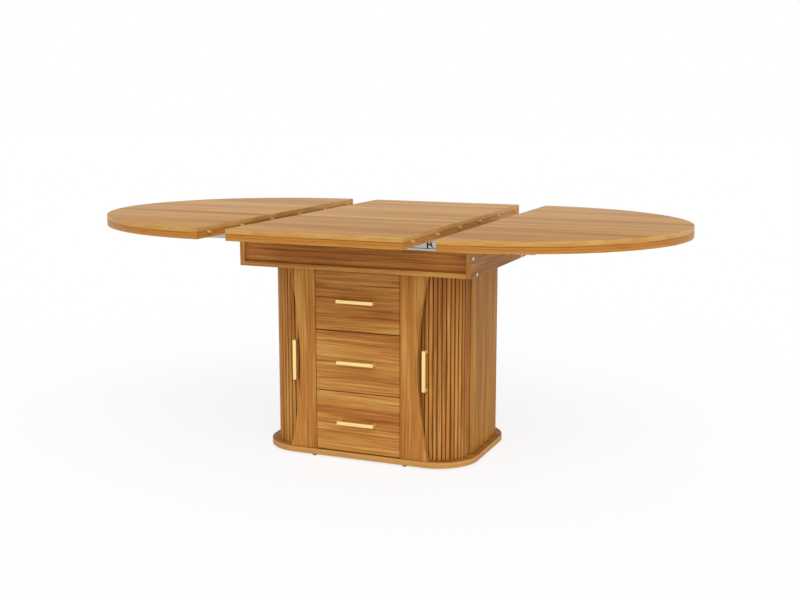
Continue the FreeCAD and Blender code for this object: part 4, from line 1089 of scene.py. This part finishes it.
# %% Drawer screws
SCREW_PROFILE, SCREW_SEGMENTS = ((0, 3.5), (0.5, 3.5), (1.3, 2.9), (1.8, 1.5), (1.2, 1.1), (0.6, 0.4)), 20
RUNNER_SCREWS = (0.08, 0.45, 0.9)    # shares of the runner's length
RUNNER_METAL = 1.2 * MM
screw = turned_mesh("one_screw", SCREW_PROFILE, SCREW_SEGMENTS, zinc)
for level in LEVELS:
    handle_low, handle_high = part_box(f"drawer_{level}_handle")
    runner_low, runner_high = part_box(f"drawer_{level}_runners")
    inside_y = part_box(f"drawer_{level}_front")[1].y
    leg_x, leg_z = handle_high.x - LEG / 2, (handle_low.z + handle_high.z) / 2
    groups = [(OUT_ALONG_Y[1], [(side * leg_x, inside_y, leg_z) for side in (-1, 1)])]
    web_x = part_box(f"drawer_{level}_sides")[1].x + RUNNER_METAL
    web_z = (runner_low.z + runner_high.z) / 2
    along = [runner_low.y + share * (runner_high.y - runner_low.y) for share in RUNNER_SCREWS]
    for side in (-1, 1):
        groups.append((OUT_ALONG_X[side], [(side * web_x, y, web_z) for y in along]))
    repeated(f"drawer_{level}_screws", screw, groups, f"drawer_{level}")
print("screws per drawer:", 2 + 2 * len(RUNNER_SCREWS))

# %% [markdown]
# ## Camera, floor and light
# The camera stands to the right of the table a little above its top, as in a catalogue picture. The
# floor is a plain pale sheet that keeps the shadow, and the world is white to the camera and to
# reflections but dimmer as a lamp, so that colours come out about as they are written. Two broad suns
# give the boards a light side and a shaded side.

# %% Camera
AZIMUTH, PITCH_DOWN = math.radians(22.51), math.radians(9.76)
EYE = (1.49415, -3.49823, 1.1351)
SENSOR, LENS = 36, 52.68
camera_data = bpy.data.cameras.new("camera")
camera_data.sensor_width = SENSOR
camera_data.lens = LENS
camera = linked("camera", camera_data)
camera.location = EYE
ahead = Vector((-math.sin(AZIMUTH) * math.cos(PITCH_DOWN), math.cos(AZIMUTH) * math.cos(PITCH_DOWN),
                -math.sin(PITCH_DOWN)))
camera.rotation_euler = ahead.to_track_quat("-Z", "Y").to_euler()
scene.camera = camera
print("camera looks along", [round(v, 3) for v in ahead])

# %% Floor
FLOOR_HALF, FLOOR_GLOW = 30, 0.8
WHITE = linear("#ffffff")
corners = [(x * FLOOR_HALF, y * FLOOR_HALF, 0) for x, y in ((-1, -1), (1, -1), (1, 1), (-1, 1))]
floor_mesh = bpy.data.meshes.new("studio_floor")
floor_mesh.from_pydata(corners, [], [(0, 1, 2, 3)])
# Matt paper that looks white to the camera and still takes a soft shadow.
floor_finish, tree, shader = new_finish("pale_studio_sheet", {
    "Base Color": WHITE, "Roughness": 0.9, "Specular IOR Level": 0.1})
seen = put(tree, "ShaderNodeLightPath").outputs["Is Camera Ray"]
glow = put(tree, "ShaderNodeEmission", {"Color": WHITE, "Strength": 1}).outputs[0]
share = put(tree, "ShaderNodeMath", {0: seen, 1: FLOOR_GLOW}, operation="MULTIPLY").outputs[0]
sheet = put(tree, "ShaderNodeMixShader", {"Fac": share, 1: shader.outputs[0], 2: glow}).outputs[0]
tree.links.new(sheet, tree.nodes["Material Output"].inputs["Surface"])
floor_mesh.materials.append(floor_finish)
floor = linked("studio_floor", floor_mesh)
print("floor is", 2 * FLOOR_HALF, "m wide")

# %% Light
FILL = 0.62
SUNS = {"key": ((0.25, -0.75, 0.6), 1.4), "side": ((0.75, -0.2, 0.65), 0.6)}
SUN_SPREAD = math.radians(55)
scene.view_settings.view_transform = "Standard"
world = bpy.data.worlds.new("white_studio")
scene.world = world
world.use_nodes = True
tree = world.node_tree
tree.nodes.clear()
path = put(tree, "ShaderNodeLightPath").outputs
seen = path["Is Camera Ray"]
for ray in ("Is Glossy Ray", "Is Transmission Ray"):
    seen = put(tree, "ShaderNodeMath", {0: seen, 1: path[ray]}, operation="MAXIMUM").outputs[0]
strength = put(tree, "ShaderNodeMapRange", {"Value": seen, "To Min": FILL, "To Max": 1.0}).outputs[0]
sky = put(tree, "ShaderNodeBackground", {"Color": WHITE, "Strength": strength}).outputs[0]
put(tree, "ShaderNodeOutputWorld", {"Surface": sky})
for name, (towards, energy) in SUNS.items():
    sun = bpy.data.lights.new(name, "SUN")
    sun.energy = energy
    sun.angle = SUN_SPREAD
    linked(name, sun).rotation_euler = Vector(towards).to_track_quat("Z", "Y").to_euler()
print("lamps:", sorted(SUNS))
